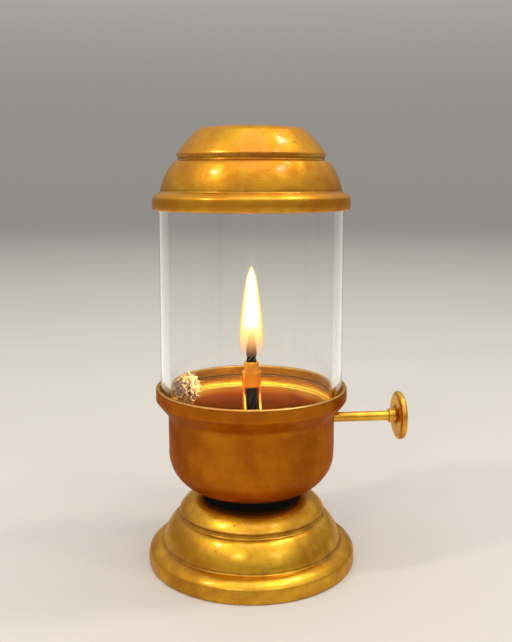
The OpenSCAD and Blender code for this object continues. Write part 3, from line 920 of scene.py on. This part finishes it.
def nub_tree():
    """Small rolled cotton nubs and stray fibres scattered over a core."""
    tree = Tree("cotton nubs", ["Nubs", "Nub Radius", "Fibres", "Fibre Length"])
    core = tree.input("Geometry")
    seats = tree.scattered(core, tree.input("Nubs"), 4)
    lift = tree.node("FunctionNodeRandomValue", {2: -0.2 * MM, 3: 1.0 * MM, "Seed": 5}, 1)
    lifted = tree.moved(seats, tree.scaled(seats.output("Normal"), lift))
    ball = tree.node("GeometryNodeMeshIcoSphere", {"Radius": tree.input("Nub Radius"), "Subdivisions": 3})
    upright = tree.node(
        "GeometryNodeInstanceOnPoints",
        {
            "Points": lifted,
            "Instance": tree.roughened(ball, 1900.0, 0.7 * MM),
            "Rotation": seats.output("Rotation"),
            "Scale": tree.random_vector((0.45, 0.45, 0.9), (0.9, 0.9, 2.2), 9),
        },
    )
    tilt = tree.random_vector((-1.0, -1.0, 0), (1.0, 1.0, 6.28), 7)
    nubs = tree.node("GeometryNodeRotateInstances", {"Instances": upright, "Rotation": tilt})
    roots = tree.scattered(core, tree.input("Fibres"), 11)
    curl = tree.node(
        "GeometryNodeCurveQuadraticBezier",
        {"Resolution": 6, "Start": (0, 0, -0.2), "Middle": (0.5, 0.1, 0.6), "End": (0.1, 0.5, 1.0)},
    )
    fibres = tree.node(
        "GeometryNodeInstanceOnPoints",
        {
            "Points": roots,
            "Instance": tree.swept(curl, tree.ring(3, 0.02), caps=False),
            "Rotation": tree.random_vector((-1.2, -1.2, 0.0), (1.2, 1.2, 6.28), 13),
            "Scale": tree.input("Fibre Length"),
        },
    )
    return tree.finish(core, nubs, fibres)


def thread_tree():
    """A screw thread: one ridge wound round a rod."""
    tree = Tree("screw thread", ["Radius", "Height", "Turns", "Ridge"])
    winding = tree.node(
        "GeometryNodeCurveSpiral",
        {
            "Resolution": 32,
            "Rotations": tree.input("Turns"),
            "Start Radius": tree.input("Radius"),
            "End Radius": tree.input("Radius"),
            "Height": tree.input("Height"),
        },
    )
    ridge = tree.swept(winding, tree.ring(4, tree.input("Ridge")))
    return tree.finish(tree.input("Geometry"), ridge)


# Outlines of the spun shells


def stepped_dome(sizes, piece, ring, band, inner_band, top, hole):
    """Section of a spun dome: upright band, sloping shoulder, two swelling stages with a groove between.

    Piece is lid or base, and the sizes with that word in front give the rest.
    """

    def own(name):
        return getattr(sizes, f"{piece}_{name}")

    edge = sizes.edge
    wide = sizes.groove_width
    wall = own("wall")
    step = own("step")
    cut = step + sizes.groove_depth
    foot_r = own("dome_radius")
    foot_z = band + own("shoulder")
    groove_r = own("groove_radius")
    groove_z = own("groove_height")
    top_r = own("top_radius")
    line = Outline()
    line.to(ring, 0, edge)
    line.to(ring, band, 0.6 * edge, sizes.band_swell)
    line.to(foot_r, foot_z, 0.8 * edge, own("shoulder_swell"))
    line.to(groove_r, groove_z, 1.6 * edge, own("swell_low"))
    line.to(groove_r - cut, groove_z + 0.25 * wide, edge)
    line.to(groove_r - cut, groove_z + 0.75 * wide, edge)
    line.to(groove_r - step, groove_z + wide, edge)
    line.to(top_r, top, 3.5 * edge, own("swell_high"))
    line.to(hole, top, 0.7 * edge)
    line.to(hole, top - wall, 0.5 * edge)
    line.to(top_r - wall, top - wall, 2.5 * edge)
    line.to(groove_r - step - wall, groove_z + wide - wall, edge, -own("swell_high"))
    line.to(groove_r - cut - wall, groove_z + 0.75 * wide - wall, 0.5 * edge)
    line.to(groove_r - cut - wall, groove_z + 0.25 * wide - wall, 0.5 * edge)
    line.to(groove_r - wall, groove_z - wall, edge)
    line.to(foot_r - wall, foot_z - wall, 0.5 * edge, -own("swell_low"))
    for radius, height in inner_band:
        line.to(radius, height, 0.5 * edge)
    return line.points()


def raised(line, z):
    """A line of points moved up to its place."""
    return [Vector((p.x, p.y + z)) for p in line]


# Operators


class DIYA_OT_stage(bpy.types.Operator):
    """Makes the camera, the lights, the surroundings and the floor"""

    bl_idname = "diya.stage"
    bl_label = "Stage"

    # Place, width and power of each lamp: a broad one overhead and small ones that draw highlights
    LAMPS = {
        "overhead": ((0.0, -0.3, 1.2), 0.7, 2.4),
        "left_above": ((-0.6, -0.26, 0.86), 0.07, 1.8),
        "right_above": ((0.45, 0.0, 0.99), 0.14, 1.8),
        "right_middle": ((0.44, -0.37, 1.0), 0.09, 0.8),
        "left_front": ((-0.37, -0.72, 0.66), 0.12, 0.8),
        "right_front": ((0.39, -0.72, 0.66), 0.12, 0.5),
    }
    LAMP_TONE = (1.0, 0.95, 0.88)
    LAMP_AIM = (0, 0, 0.09)
    # Place and power of the upright panels behind the lamp that draw pale bands on the chimney alone
    PANELS = {
        "left_panel": ((-0.2, 0.223, 0.1), 0.14),
        "right_panel": ((0.243, 0.176, 0.1), 0.12),
    }
    PANEL_WIDTH = 0.18
    PANEL_HEIGHT = 0.2
    # Power and tone of the flame's own light, its radius and its height above the wick's tip
    GLOW_POWER = 0.6
    GLOW_TONE = (1.0, 0.84, 0.46)
    GLOW_RADIUS = 4 * MM
    GLOW_RISE = 14 * MM
    # Tones of the surroundings: in front on the left and on the right, along the horizon and overhead
    FRONT_LEFT = (0.31, 0.30, 0.285, 1)
    FRONT_RIGHT = (0.15, 0.145, 0.138, 1)
    HORIZON = (0.292, 0.277, 0.256, 1)
    SKY = (0.78, 0.765, 0.74, 1)
    # Limits between which those tones change from left to right, front to back and low to high
    SIDE_LIMITS = (-0.8, 0.8)
    BACK_LIMITS = (-0.3, 0.7)
    SKY_LIMITS = (0.05, 0.55)
    FLOOR_REACH = 40.0

    def execute(self, context):
        self.make_camera(context.scene, context.scene.diya_stage)
        self.make_world(context.scene)
        for group in (GLASS_GROUP, FLAME_SHY_GROUP, FRONT_SHY_GROUP):
            bpy.data.collections.new(group)
        self.make_floor(context.scene.diya_colours.floor)
        for name, (place, size, power) in self.LAMPS.items():
            lamp = self.make_lamp(name, place, size, power)
            if name.endswith("_front"):
                lamp.light_linking.receiver_collection = bpy.data.collections[FRONT_SHY_GROUP]
        self.make_panels()
        self.make_glow()
        context.scene.view_settings.view_transform = "Standard"
        return {"FINISHED"}

    def make_camera(self, scene, stage):
        """A camera that stands back from the lamp and a little aside."""
        camera = bpy.data.cameras.new("camera")
        camera.lens = stage.lens
        camera.shift_y = stage.shift
        viewer = add_object("camera", camera)
        back = Vector((math.sin(stage.azimuth), -math.cos(stage.azimuth), 0))
        right = Vector((math.cos(stage.azimuth), math.sin(stage.azimuth), 0))
        viewer.location = back * stage.distance + right * stage.aside + Vector((0, 0, stage.height))
        viewer.rotation_euler = (math.pi / 2 - stage.pitch, 0, stage.azimuth)
        scene.camera = viewer

    def make_world(self, scene):
        """Surroundings that are dimmer at the horizon than overhead, and dimmest on the right in front.

        The camera sees one even grey all round the horizon.
        """
        world = bpy.data.worlds.new("studio")
        world.use_nodes = True
        scene.world = world
        make = Nodes(world.node_tree)
        way = make.node("ShaderNodeTexCoord", output="Generated")
        side = make.node("ShaderNodeSeparateXYZ", {"Vector": way}, "X")
        front = make.mix(side.between(*self.SIDE_LIMITS), self.FRONT_LEFT, self.FRONT_RIGHT)
        level = make.mix(side.output("Y").between(*self.BACK_LIMITS), front, self.HORIZON)
        rise = side.output("Z").between(*self.SKY_LIMITS)
        mirrored = make.mix(rise, level, self.SKY)
        seen = make.mix(rise, self.HORIZON, self.SKY)
        direct = make.node("ShaderNodeLightPath", output="Is Camera Ray")
        straight = direct.calculate("MAXIMUM", direct, direct.output("Is Transmission Ray"))
        make.feed(world.node_tree.nodes["Background"].inputs["Color"], make.mix(straight, mirrored, seen))

    def make_floor(self, tone):
        """A wide pale floor."""
        reach = self.FLOOR_REACH
        corners = [(-reach, -reach, 0), (reach, -reach, 0), (reach, reach, 0), (-reach, reach, 0)]
        floor = mesh_piece("floor", corners, [(0, 1, 2, 3)])
        dress(floor, floor_finish("pale floor", tone))
        keep_unlit(floor, FLAME_SHY_GROUP)

    def make_light(self, name, kind, place, power, tone):
        """A light that the camera doesn't see."""
        light = bpy.data.lights.new(name, kind)
        light.energy = power
        light.color = tone
        lamp = add_object(name, light)
        lamp.location = place
        lamp.visible_camera = False
        return lamp

    def make_lamp(self, name, place, size, power):
        """A soft round lamp that points at the middle of the object."""
        lamp = self.make_light(name, "AREA", place, power, self.LAMP_TONE)
        lamp.data.shape = "DISK"
        lamp.data.size = size
        aim = Vector(self.LAMP_AIM) - Vector(place)
        lamp.rotation_euler = aim.to_track_quat("-Z", "Y").to_euler()
        return lamp

    def make_panels(self):
        """Upright panels that light nothing but the pieces in the glass group."""
        for name, (place, power) in self.PANELS.items():
            panel = self.make_lamp(name, place, self.PANEL_WIDTH, power)
            panel.data.shape = "RECTANGLE"
            panel.data.size_y = self.PANEL_HEIGHT
            panel.visible_transmission = False
            panel.light_linking.receiver_collection = bpy.data.collections[GLASS_GROUP]

    def make_glow(self):
        """The flame's own warm light on bowl and burner."""
        place = (0, 0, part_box("wick")[1].z + self.GLOW_RISE)
        glow = self.make_light("flame_glow", "POINT", place, self.GLOW_POWER, self.GLOW_TONE)
        glow.data.shadow_soft_size = self.GLOW_RADIUS
        glow.visible_transmission = False
        glow.light_linking.receiver_collection = bpy.data.collections[FLAME_SHY_GROUP]


class DIYA_OT_spare_wick(bpy.types.Operator):
    """Makes the spare wick in the bowl and the frayed tuft at its end"""

    bl_idname = "diya.spare_wick"
    bl_label = "Spare wick"

    # The route's turn about the lamp, and its points outwards and upwards in millimetres
    AZIMUTH = math.radians(175)
    ROUTE = [
        (0, 52.9), (0, 51.8), (0.2, 50.4), (0.8, 48.5), (1.8, 46.9), (3.2, 45.4), (4.8, 44.3), (7, 43),
        (10, 41.2), (13, 39.5), (16, 37.8), (18.6, 36.5), (21, 36), (23, 36.2), (25, 37.1), (27.2, 38.9),
        (29, 41.4), (30.3, 44.6), (30.7, 48.2), (30.7, 53), (30.4, 58), (29.7, 63.5), (28.8, 67.2),
    ]
    # Points of the route where the spare wick lies still and where it is drawn up into the burner
    STILL = (8, 43)
    DRAWN = (0, 48)
    # The tuft's core as a share of its solid, height and closeness of its lumps, and room left to the glass
    CORE_SHARE = 0.7
    BROAD_LUMPS = (0.34, 2.1)
    FINE_LUMPS = (0.2, 4.6)
    GLASS_ROOM = 0.4 * MM

    def execute(self, context):
        sizes = context.scene.diya_sizes
        tones = context.scene.diya_colours
        cotton = cotton_finish("spun cotton", tones.cotton, tones.cotton_pale, 1.0)
        knots = [self.on_route(*point) for point in self.ROUTE]
        path = smooth_route(knots)
        tail = strand_tree().grow("spare_wick", line_object("spare_path", path), wick_values(sizes, cotton))
        loose = cotton_finish("loose cotton", tones.cotton, tones.cotton_painted_shade, 4.0, painted_depth_shade=True)
        tuft = self.make_tuft(loose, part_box("glass_chimney")[1].y - sizes.glass_wall - self.GLASS_ROOM)
        bending = ("stand", "wick", self.on_route(*self.STILL), self.on_route(*self.DRAWN))
        settle(tail, cotton, bending, "cotton", "wick_tail")
        settle(tuft, loose, "stand", "cotton", "wick_tuft")
        run = sum((b - a).length for a, b in zip(path, path[1:]))
        return {"FINISHED"}

    def on_route(self, out, up):
        """A point of the route's upright plane, from millimetres outwards and upwards."""
        outwards = Vector((math.cos(self.AZIMUTH), math.sin(self.AZIMUTH), 0))
        return outwards * out * MM + Vector((0, 0, up * MM))

    def make_tuft(self, cotton, room):
        """A teased lump of cotton, clear of the glass: an uneven core with rolled nubs and stray fibres."""
        low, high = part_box("wick_tuft")
        centre = (low + high) / 2
        reach = (high - low) / 2 * self.CORE_SHARE
        bpy.ops.mesh.primitive_ico_sphere_add(subdivisions=5, radius=1.0)
        core = bpy.context.object
        for vertex in core.data.vertices:
            direction = vertex.co.copy()
            lump = 1 + uneven(direction, *self.BROAD_LUMPS) + uneven(direction, *self.FINE_LUMPS)
            vertex.co = centre + Vector(d * r * lump for d, r in zip(direction, reach))
        values = {
            "Nubs": 900000.0,
            "Nub Radius": 0.62 * MM,
            "Fibres": 300000.0,
            "Fibre Length": 2.0 * MM,
            "Material": cotton,
        }
        tuft = nub_tree().grow("cotton_tuft", core, values)

        def stands_out(vertex):
            return Vector(d / r for d, r in zip(vertex.co - centre, reach)).length - 1

        mark_points(tuft, "stands_out", stands_out)
        for vertex in tuft.data.vertices:
            vertex.co.xy *= min(1.0, room / vertex.co.xy.length)
        return tuft


def uneven(place, height, closeness):
    """Lumps of a height, as close together as closeness says."""
    return height * noise.noise(place * closeness)


def wick_values(sizes, material):
    """Inputs of the strand tree for the lamp's wick."""
    return {
        "Strands": sizes.strand_count,
        "Lay Length": sizes.lay_length,
        "Ring Radius": sizes.wick_radius - sizes.strand_radius,
        "Strand Radius": sizes.strand_radius,
        "Fuzz": 0.35 * MM,
        "Material": material,
    }


class DIYA_OT_base(bpy.types.Operator):
    """Makes the stepped base and dresses its spacer"""

    bl_idname = "diya.base"
    bl_label = "Base"

    def execute(self, context):
        sizes = context.scene.diya_sizes
        tones = context.scene.diya_colours
        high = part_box("base_shell")[1]
        band = sizes.band_height
        ring = high.y - sizes.band_swell
        inner = ring - sizes.ring_wall
        inner_band = [(inner, band - sizes.base_wall), (inner, 0)]
        line = stepped_dome(sizes, "base", ring, band, inner_band, high.z, sizes.stud_hole_radius)
        base = revolve("base", line, dents=0.16 * MM)
        brass = brass_finish("base brass", tones.base_brass, tones.base_stain, tones.grime, 0.34, 2.0)
        settle(base, brass, "stand", "brass_shell", "base_shell")
        # The spacer's near-black tone also paints the shadow in the gap between bowl and base.
        dress(NODES["spacer_ring"], matt_finish("black rubber", tones.rubber, 0.78, 900, 0.03 * MM))
        return {"FINISHED"}


class DIYA_OT_bowl(bpy.types.Operator):
    """Makes the oil bowl with its stepped gallery and rounded lip"""

    bl_idname = "diya.bowl"
    bl_label = "Oil bowl"

    CORNER_STEPS = 28
    # Depth below the lip of the gallery that the brighter tone paints with the flame's light, and the depth
    # over which that painted light fades and then the tone darkens towards the floor
    GALLERY_DEPTH = 8 * MM
    GALLERY_FADE = 4 * MM
    # Faces whose normal rises by more than this count as the bowl's floor
    FLOOR_RISE = 0.95
    # Room round the spindle in its hole, and length of the drill
    SPINDLE_ROOM = 0.1 * MM
    DRILL_LENGTH = 20 * MM

    def execute(self, context):
        sizes = context.scene.diya_sizes
        tones = context.scene.diya_colours
        low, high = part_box("oil_bowl")
        bowl = revolve("bowl", self.section(sizes, low.z, high.z, high.y), dents=0.12 * MM)
        self.drill(bowl, sizes)
        self.mark_inside(bowl, high.z)
        # The brighter inside tone paints the flame's light on the bowl's inside.
        brass = brass_finish(
            "bowl brass", tones.bowl_brass, tones.bowl_stain, tones.grime, 0.38, 5.0,
            # a polish of 1 also paints a highlight along the lip, on top of its wear
            dirt=0.15, polish=1.0, coat=0.1, painted_glow_tone=tones.bowl_inside_painted_glow,
        )
        settle(bowl, brass, "stand", "brass_bowl", "oil_bowl")
        return {"FINISHED"}

    def section(self, sizes, bottom, lip, lip_radius):
        """Closed section: up the outside, over the lip and down the inside."""
        wall = sizes.bowl_wall
        seat = lip - sizes.seat_depth
        step = seat - sizes.step_depth
        inner = sizes.bowl_radius - wall
        lip_inner = lip_radius - sizes.lip_wall
        corner_x = sizes.bowl_radius - sizes.bowl_corner
        corner_z = bottom + math.sqrt(sizes.bowl_corner**2 - (sizes.bowl_bottom_radius - corner_x) ** 2)
        outer_arc = self.corner_arc(corner_x, corner_z, sizes.bowl_corner, bottom)
        inner_arc = self.corner_arc(corner_x, corner_z, sizes.bowl_corner - wall, bottom + wall)
        line = Outline()
        line.to(sizes.stud_hole_radius, bottom)
        for k, point in enumerate(outer_arc):
            line.to(point.x, point.y, 0.6 * MM if k == 0 else 0)
        line.to(sizes.bowl_radius, seat - sizes.lip_drop - sizes.slope_height, 1.6 * MM)
        line.to(lip_radius, seat - sizes.lip_drop, 0.6 * MM)
        line.to(lip_radius, lip, 0.5 * sizes.lip_wall)
        line.to(lip_inner, lip, 0.5 * sizes.lip_wall)
        line.to(lip_inner, seat, 0.3 * MM)
        line.to(sizes.step_radius, seat, 0.5 * MM)
        line.to(sizes.step_radius, step, 0.5 * MM)
        line.to(inner, step, 0.7 * MM)
        for point in reversed(inner_arc):
            line.to(point.x, point.y)
        line.to(sizes.stud_hole_radius, bottom + wall)
        return line.points()

    def corner_arc(self, x, z, radius, bottom):
        """Points of the round corner, from the flat bottom up to the wall."""
        start = -math.asin((z - bottom) / radius)
        turns = [start * (1 - i / self.CORNER_STEPS) for i in range(self.CORNER_STEPS + 1)]
        return [Vector((x + radius * math.cos(a), z + radius * math.sin(a))) for a in turns]

    def mark_inside(self, bowl, lip):
        """Marks what faces the axis or looks up, from 1 at the gallery, where the brighter tone paints the
        flame's light, to -1 at the floor, where the tone turns darker.
        """
        gallery = lip - self.GALLERY_DEPTH

        def inside(vertex):
            outwards = vertex.normal.x * vertex.co.x + vertex.normal.y * vertex.co.y
            facing = outwards < 0 or vertex.normal.z > self.FLOOR_RISE
            level = 1 - (gallery - vertex.co.z) / self.GALLERY_FADE
            return max(-1.0, min(1.0, level)) if facing else 0.0

        mark_points(bowl, "inside", inside)

    def drill(self, bowl, sizes):
        """Cuts the spindle's hole through the right-hand wall."""
        bpy.ops.mesh.primitive_cylinder_add(
            vertices=48,
            radius=sizes.spindle_radius + self.SPINDLE_ROOM,
            depth=self.DRILL_LENGTH,
            location=(sizes.bowl_radius, SPINDLE_AXIS.y, SPINDLE_AXIS.z),
            rotation=(0, math.pi / 2, 0),
        )
        drill = bpy.context.object
        cut = bowl.modifiers.new("spindle hole", "BOOLEAN")
        cut.operation = "DIFFERENCE"
        cut.solver = "EXACT"
        cut.object = drill
        drilled = evaluated_mesh(bowl)
        bowl.modifiers.clear()
        bowl.data = drilled
        bpy.data.objects.remove(drill)


class DIYA_OT_burner(bpy.types.Operator):
    """Dresses the burner's foot, housing, bracket and wick tube"""

    bl_idname = "diya.burner"
    bl_label = "Burner"

    def execute(self, context):
        tones = context.scene.diya_colours
        metal = (tones.turned_brass, tones.turned_stain, tones.grime)
        brass = brass_finish("turned brass", *metal, 0.3, 8.0)
        for name in ("burner_foot", "burner_housing", "wheel_bracket", "wick_tube"):
            dress(NODES[name], brass)
        dress(NODES["foot_seal"], matt_finish("pressed fibre", tones.fibre, 0.7, 500, 0.05 * MM))
        return {"FINISHED"}


class DIYA_OT_raiser(bpy.types.Operator):
    """Makes the spindle and the knob, and dresses the wick wheel"""

    bl_idname = "diya.raiser"
    bl_label = "Wick raiser"

    # Dents in a metre of the knob, which are closer than the shells'
    KNOB_DENT_SCALE = 600.0

    def execute(self, context):
        sizes = context.scene.diya_sizes
        tones = context.scene.diya_colours
        metal = (tones.turned_brass, tones.turned_stain, tones.grime)
        brass = brass_finish("raiser brass", *metal, 0.28, 11.0)
        spindle = self.make_spindle(sizes)
        knob = self.make_knob(sizes)
        settle(spindle, brass, "raiser", "brass_turned", "spindle")
        settle(knob, brass, "raiser", "brass_turned", "knob")
        dress(NODES["wick_wheel"], brass)
        return {"FINISHED"}

    def make_spindle(self, sizes):
        """A straight rod with a peened head outside the knob."""
        low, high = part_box("spindle")
        radius = sizes.spindle_radius
        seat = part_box("knob")[1].x - sizes.knob_dish
        line = Outline(spacing=1.0 * MM)
        line.to(0, low.x)
        line.to(radius, low.x, 0.4 * MM)
        line.to(radius, seat, 0.1 * MM)
        line.to(sizes.rivet_radius, seat, 0.2 * MM)
        line.to(sizes.rivet_radius * 0.9, seat + 0.4 * (high.x - seat), 0.3 * MM)
        line.to(0, high.x, 0, 0.1 * MM)
        spindle = revolve("spindle_rod", line.points(closed=False), 64, closed=False)
        lay_along_spindle(spindle)
        return spindle

    def make_knob(self, sizes):
        """A round-edged disc with a dished face and a hub that flares into it."""
        low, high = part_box("knob")
        disc = high.z - SPINDLE_AXIS.z
        face = high.x - sizes.knob_thickness
        half = sizes.knob_thickness / 2
        dish = disc - sizes.knob_thickness
        line = Outline(spacing=0.6 * MM)
        line.to(sizes.spindle_radius, low.x)
        line.to(sizes.hub_radius, low.x, 0.8 * MM)
        line.to(sizes.hub_radius, face - 0.5 * sizes.hub_length, 0.5 * MM)
        line.to(sizes.hub_radius + 0.5 * sizes.hub_length, face, 0.8 * MM, -0.4 * MM)
        line.to(disc - half, face, 0.2 * MM)
        line.to(disc, face + 0.35 * half, half)
        line.to(disc, high.x - 0.35 * half, half)
        line.to(disc - half, high.x, 0.3 * MM)
        line.to(dish, high.x, 0.4 * MM)
        line.to(dish - sizes.knob_dish, high.x - sizes.knob_dish, 0.4 * MM)
        line.to(sizes.spindle_radius, high.x - sizes.knob_dish)
        knob = revolve("knob_disc", line.points(), 128, dents=0.05 * MM, dent_scale=self.KNOB_DENT_SCALE)
        lay_along_spindle(knob)
        return knob


class DIYA_OT_wick(bpy.types.Operator):
    """Makes the driven wick with its burnt tip"""

    bl_idname = "diya.wick"
    bl_label = "Wick"

    PATH_STEPS = 20
    # How far the burnt end is drawn in, how ragged its sides are and how much shorter its strands get
    DRAWN_IN = 0.3
    SIDE_LUMPS = (0.22, 700)
    END_LUMPS = (0.9 * MM, 520)

    def execute(self, context):
        sizes = context.scene.diya_sizes
        tones = context.scene.diya_colours
        low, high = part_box("wick")
        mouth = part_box("wick_tube")[1].z
        cotton = wick_finish("burning wick", tones.cotton_pale, tones.char, low.z, mouth)
        steps = self.PATH_STEPS
        path = [Vector((0, 0, low.z + (high.z - low.z) * i / steps)) for i in range(steps + 1)]
        wick = strand_tree().grow("driven_wick", line_object("wick_path", path), wick_values(sizes, cotton))
        for vertex in wick.data.vertices:
            self.burn(vertex, high.z, mouth)
        settle(wick, cotton, "wick", "charred_cotton", "wick")
        return {"FINISHED"}

    def burn(self, vertex, top, mouth):
        """Draws the burnt end in and makes it ragged."""
        share = max(0.0, (vertex.co.z - mouth) / (top - mouth))
        ragged = uneven(vertex.co, *self.SIDE_LUMPS)
        vertex.co.xy *= 1 - self.DRAWN_IN * share**2 + share * ragged
        vertex.co.z -= share * abs(uneven(vertex.co, *self.END_LUMPS))


class DIYA_OT_flame(bpy.types.Operator):
    """Makes the flame as a few nested glowing veils over the wick's tip"""

    bl_idname = "diya.flame"
    bl_label = "Flame"

    # Share of the flame's width, its foot and tip as shares of the flame's height, the share of its own
    # height over which it fades in, cover, strength and colour of each veil, from the heart outwards
    VEILS = [
        (0.42, 0.00, 0.30, 0.12, 0.85, 0.15, (0.45, 0.16, 0.05)),
        (0.55, 0.25, 0.90, 0.26, 0.90, 12.0, (1.0, 0.96, 0.82)),
        (0.72, 0.16, 0.94, 0.30, 0.45, 5.0, (1.0, 0.88, 0.50)),
        (0.85, 0.00, 0.95, 0.40, 0.45, 3.0, (1.0, 0.78, 0.32)),
        (0.94, 0.00, 0.955, 0.34, 0.45, 2.0, (1.0, 0.62, 0.16)),
        (1.00, 0.00, 0.96, 0.28, 0.38, 1.2, (1.0, 0.38, 0.05)),
    ]
    FOOT_TONE = (0.55, 0.22, 0.10, 1.0)
    # Radius of the flame at shares of its height
    FORM = [
        (0, 0), (0.55, 0.012), (0.86, 0.05), (0.97, 0.11), (1.0, 0.18), (0.96, 0.30), (0.86, 0.46),
        (0.71, 0.62), (0.57, 0.75), (0.43, 0.86), (0.25, 0.94), (0.1, 0.985), (0, 1),
    ]

    def execute(self, context):
        sizes = context.scene.diya_sizes
        mouth = Vector((0, 0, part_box("wick_tube")[1].z))
        wick_tip = Vector((0, 0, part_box("wick")[1].z))
        foot = wick_tip.z - sizes.flame_sink
        for k, (width, low, high, rise, cover, strength, glow) in enumerate(self.VEILS, 1):
            start = foot + low * sizes.flame_height
            height = (high - low) * sizes.flame_height
            knots = [Vector((r * sizes.flame_radius * width, start + t * height)) for r, t in self.FORM]
            line = [Vector((max(0.0, p.x), p.y)) for p in smooth_route(knots, 8)]
            veil = revolve(f"flame_veil_{k}", line, 48, closed=False)
            mark_points(veil, "climb", lambda v: (v.co.z - foot) / sizes.flame_height)
            full = low + rise * (high - low)
            material = flame_finish(
                f"flame veil {k}", (*glow, 1.0), self.FOOT_TONE, low, full, high, cover, strength
            )
            veil.visible_shadow = False
            veil.visible_glossy = False
            settle(veil, material, ("stand", "wick", mouth, wick_tip), "charred_cotton")
        return {"FINISHED"}


class DIYA_OT_chimney(bpy.types.Operator):
    """Makes the glass chimney with rounded, ground rims"""

    bl_idname = "diya.chimney"
    bl_label = "Glass chimney"

    def execute(self, context):
        sizes = context.scene.diya_sizes
        low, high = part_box("glass_chimney")
        edge = sizes.glass_edge
        outer = high.y
        inner = outer - sizes.glass_wall
        line = Outline(spacing=3 * MM)
        for radius, height in ((outer, low.z), (outer, high.z), (inner, high.z), (inner, low.z)):
            line.to(radius, height, edge)
        chimney = revolve("chimney", line.points(), 256)
        mark_points(chimney, "rim", lambda v: float(v.co.z < low.z + edge or v.co.z > high.z - edge))
        mark_points(chimney, "seated", lambda v: float(v.co.z < low.z + edge))
        settle(chimney, glass_finish("chimney glass"), "chimney", "chimney_glass", "glass_chimney")
        bpy.data.collections[GLASS_GROUP].objects.link(chimney)
        keep_unlit(chimney, FLAME_SHY_GROUP)
        return {"FINISHED"}


class DIYA_OT_lid(bpy.types.Operator):
    """Makes the vented, stepped lid"""

    bl_idname = "diya.lid"
    bl_label = "Lid"

    def execute(self, context):
        sizes = context.scene.diya_sizes
        tones = context.scene.diya_colours
        low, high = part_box("lid_shell")
        band = sizes.brim_height
        brim = high.y - sizes.band_swell
        inner = brim - sizes.brim_wall
        ledge = sizes.lid_dome_radius - sizes.lid_wall
        inner_band = [(ledge, band), (inner, band), (inner, 0)]
        line = stepped_dome(sizes, "lid", brim, band, inner_band, high.z - low.z, sizes.vent_radius)
        lid = revolve("lid", raised(line, low.z), dents=0.14 * MM)
        brass = brass_finish("lid brass", tones.lid_brass, tones.lid_stain, tones.grime, 0.33, 14.0)
        settle(lid, brass, "lid", "brass_shell", "lid_shell")
        keep_unlit(lid, FRONT_SHY_GROUP)
        return {"FINISHED"}


class DIYA_OT_fasteners(bpy.types.Operator):
    """Threads the stud and dresses the nut and the washer"""

    bl_idname = "diya.fasteners"
    bl_label = "Fasteners"

    # Radius of the thread's ridge as a share of its pitch
    RIDGE_SHARE = 0.3

    def execute(self, context):
        sizes = context.scene.diya_sizes
        steel = steel_finish("plated steel", context.scene.diya_colours.steel)
        low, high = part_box("clamp_stud")
        tall = high.z - low.z
        ridge = self.RIDGE_SHARE * sizes.thread_pitch
        radius = high.x - ridge
        line = Outline(spacing=1 * MM)
        line.to(0, 0)
        line.to(radius, 0, 0.5 * MM)
        line.to(radius, tall, 0.3 * MM)
        line.to(0, tall)
        rod = revolve("stud_rod", line.points(closed=False), 48, closed=False)
        values = {
            "Radius": radius,
            "Height": tall - 2 * sizes.thread_pitch,
            "Turns": tall / sizes.thread_pitch - 2,
            "Ridge": ridge,
            "Material": steel,
        }
        stud = thread_tree().grow("threaded_stud", rod, values)
        stud.data.transform(Matrix.Translation((0, 0, low.z)))
        settle(stud, steel, "stand", "steel", "clamp_stud")
        for name in ("base_nut", "base_washer"):
            dress(NODES[name], steel)
        return {"FINISHED"}


OPERATORS = (
    DIYA_OT_stage,
    DIYA_OT_spare_wick,
    DIYA_OT_base,
    DIYA_OT_bowl,
    DIYA_OT_burner,
    DIYA_OT_raiser,
    DIYA_OT_wick,
    DIYA_OT_flame,
    DIYA_OT_chimney,
    DIYA_OT_lid,
    DIYA_OT_fasteners,
)


class DIYA_PT_panel(bpy.types.Panel):
    """Lists the lamp's pieces in the order in which they are made"""

    bl_idname = "DIYA_PT_panel"
    bl_label = "Akhand Diya"
    bl_space_type = "VIEW_3D"
    bl_region_type = "UI"
    bl_category = "Diya"

    def draw(self, context):
        for operator in OPERATORS:
            self.layout.operator(operator.bl_idname)


GROUPS = {"diya_sizes": DiyaSizes, "diya_colours": DiyaColours, "diya_stage": DiyaStage}


def register():
    """Registers the classes and hangs the property groups on the scene."""
    for group in GROUPS.values():
        bpy.utils.register_class(group)
    for operator in OPERATORS:
        bpy.utils.register_class(operator)
    bpy.utils.register_class(DIYA_PT_panel)
    for name, group in GROUPS.items():
        setattr(bpy.types.Scene, name, PointerProperty(type=group))


def unregister():
    """Undoes what register does, in the opposite order."""
    for name in GROUPS:
        delattr(bpy.types.Scene, name)
    bpy.utils.unregister_class(DIYA_PT_panel)
    for operator in reversed(OPERATORS):
        bpy.utils.unregister_class(operator)
    for group in reversed(list(GROUPS.values())):
        bpy.utils.unregister_class(group)


def main():
    """Makes the stage and every piece."""
    register()
    for operator in OPERATORS:
        group, name = operator.bl_idname.split(".")
        getattr(getattr(bpy.ops, group), name)()


if __name__ == "__main__":
    main()
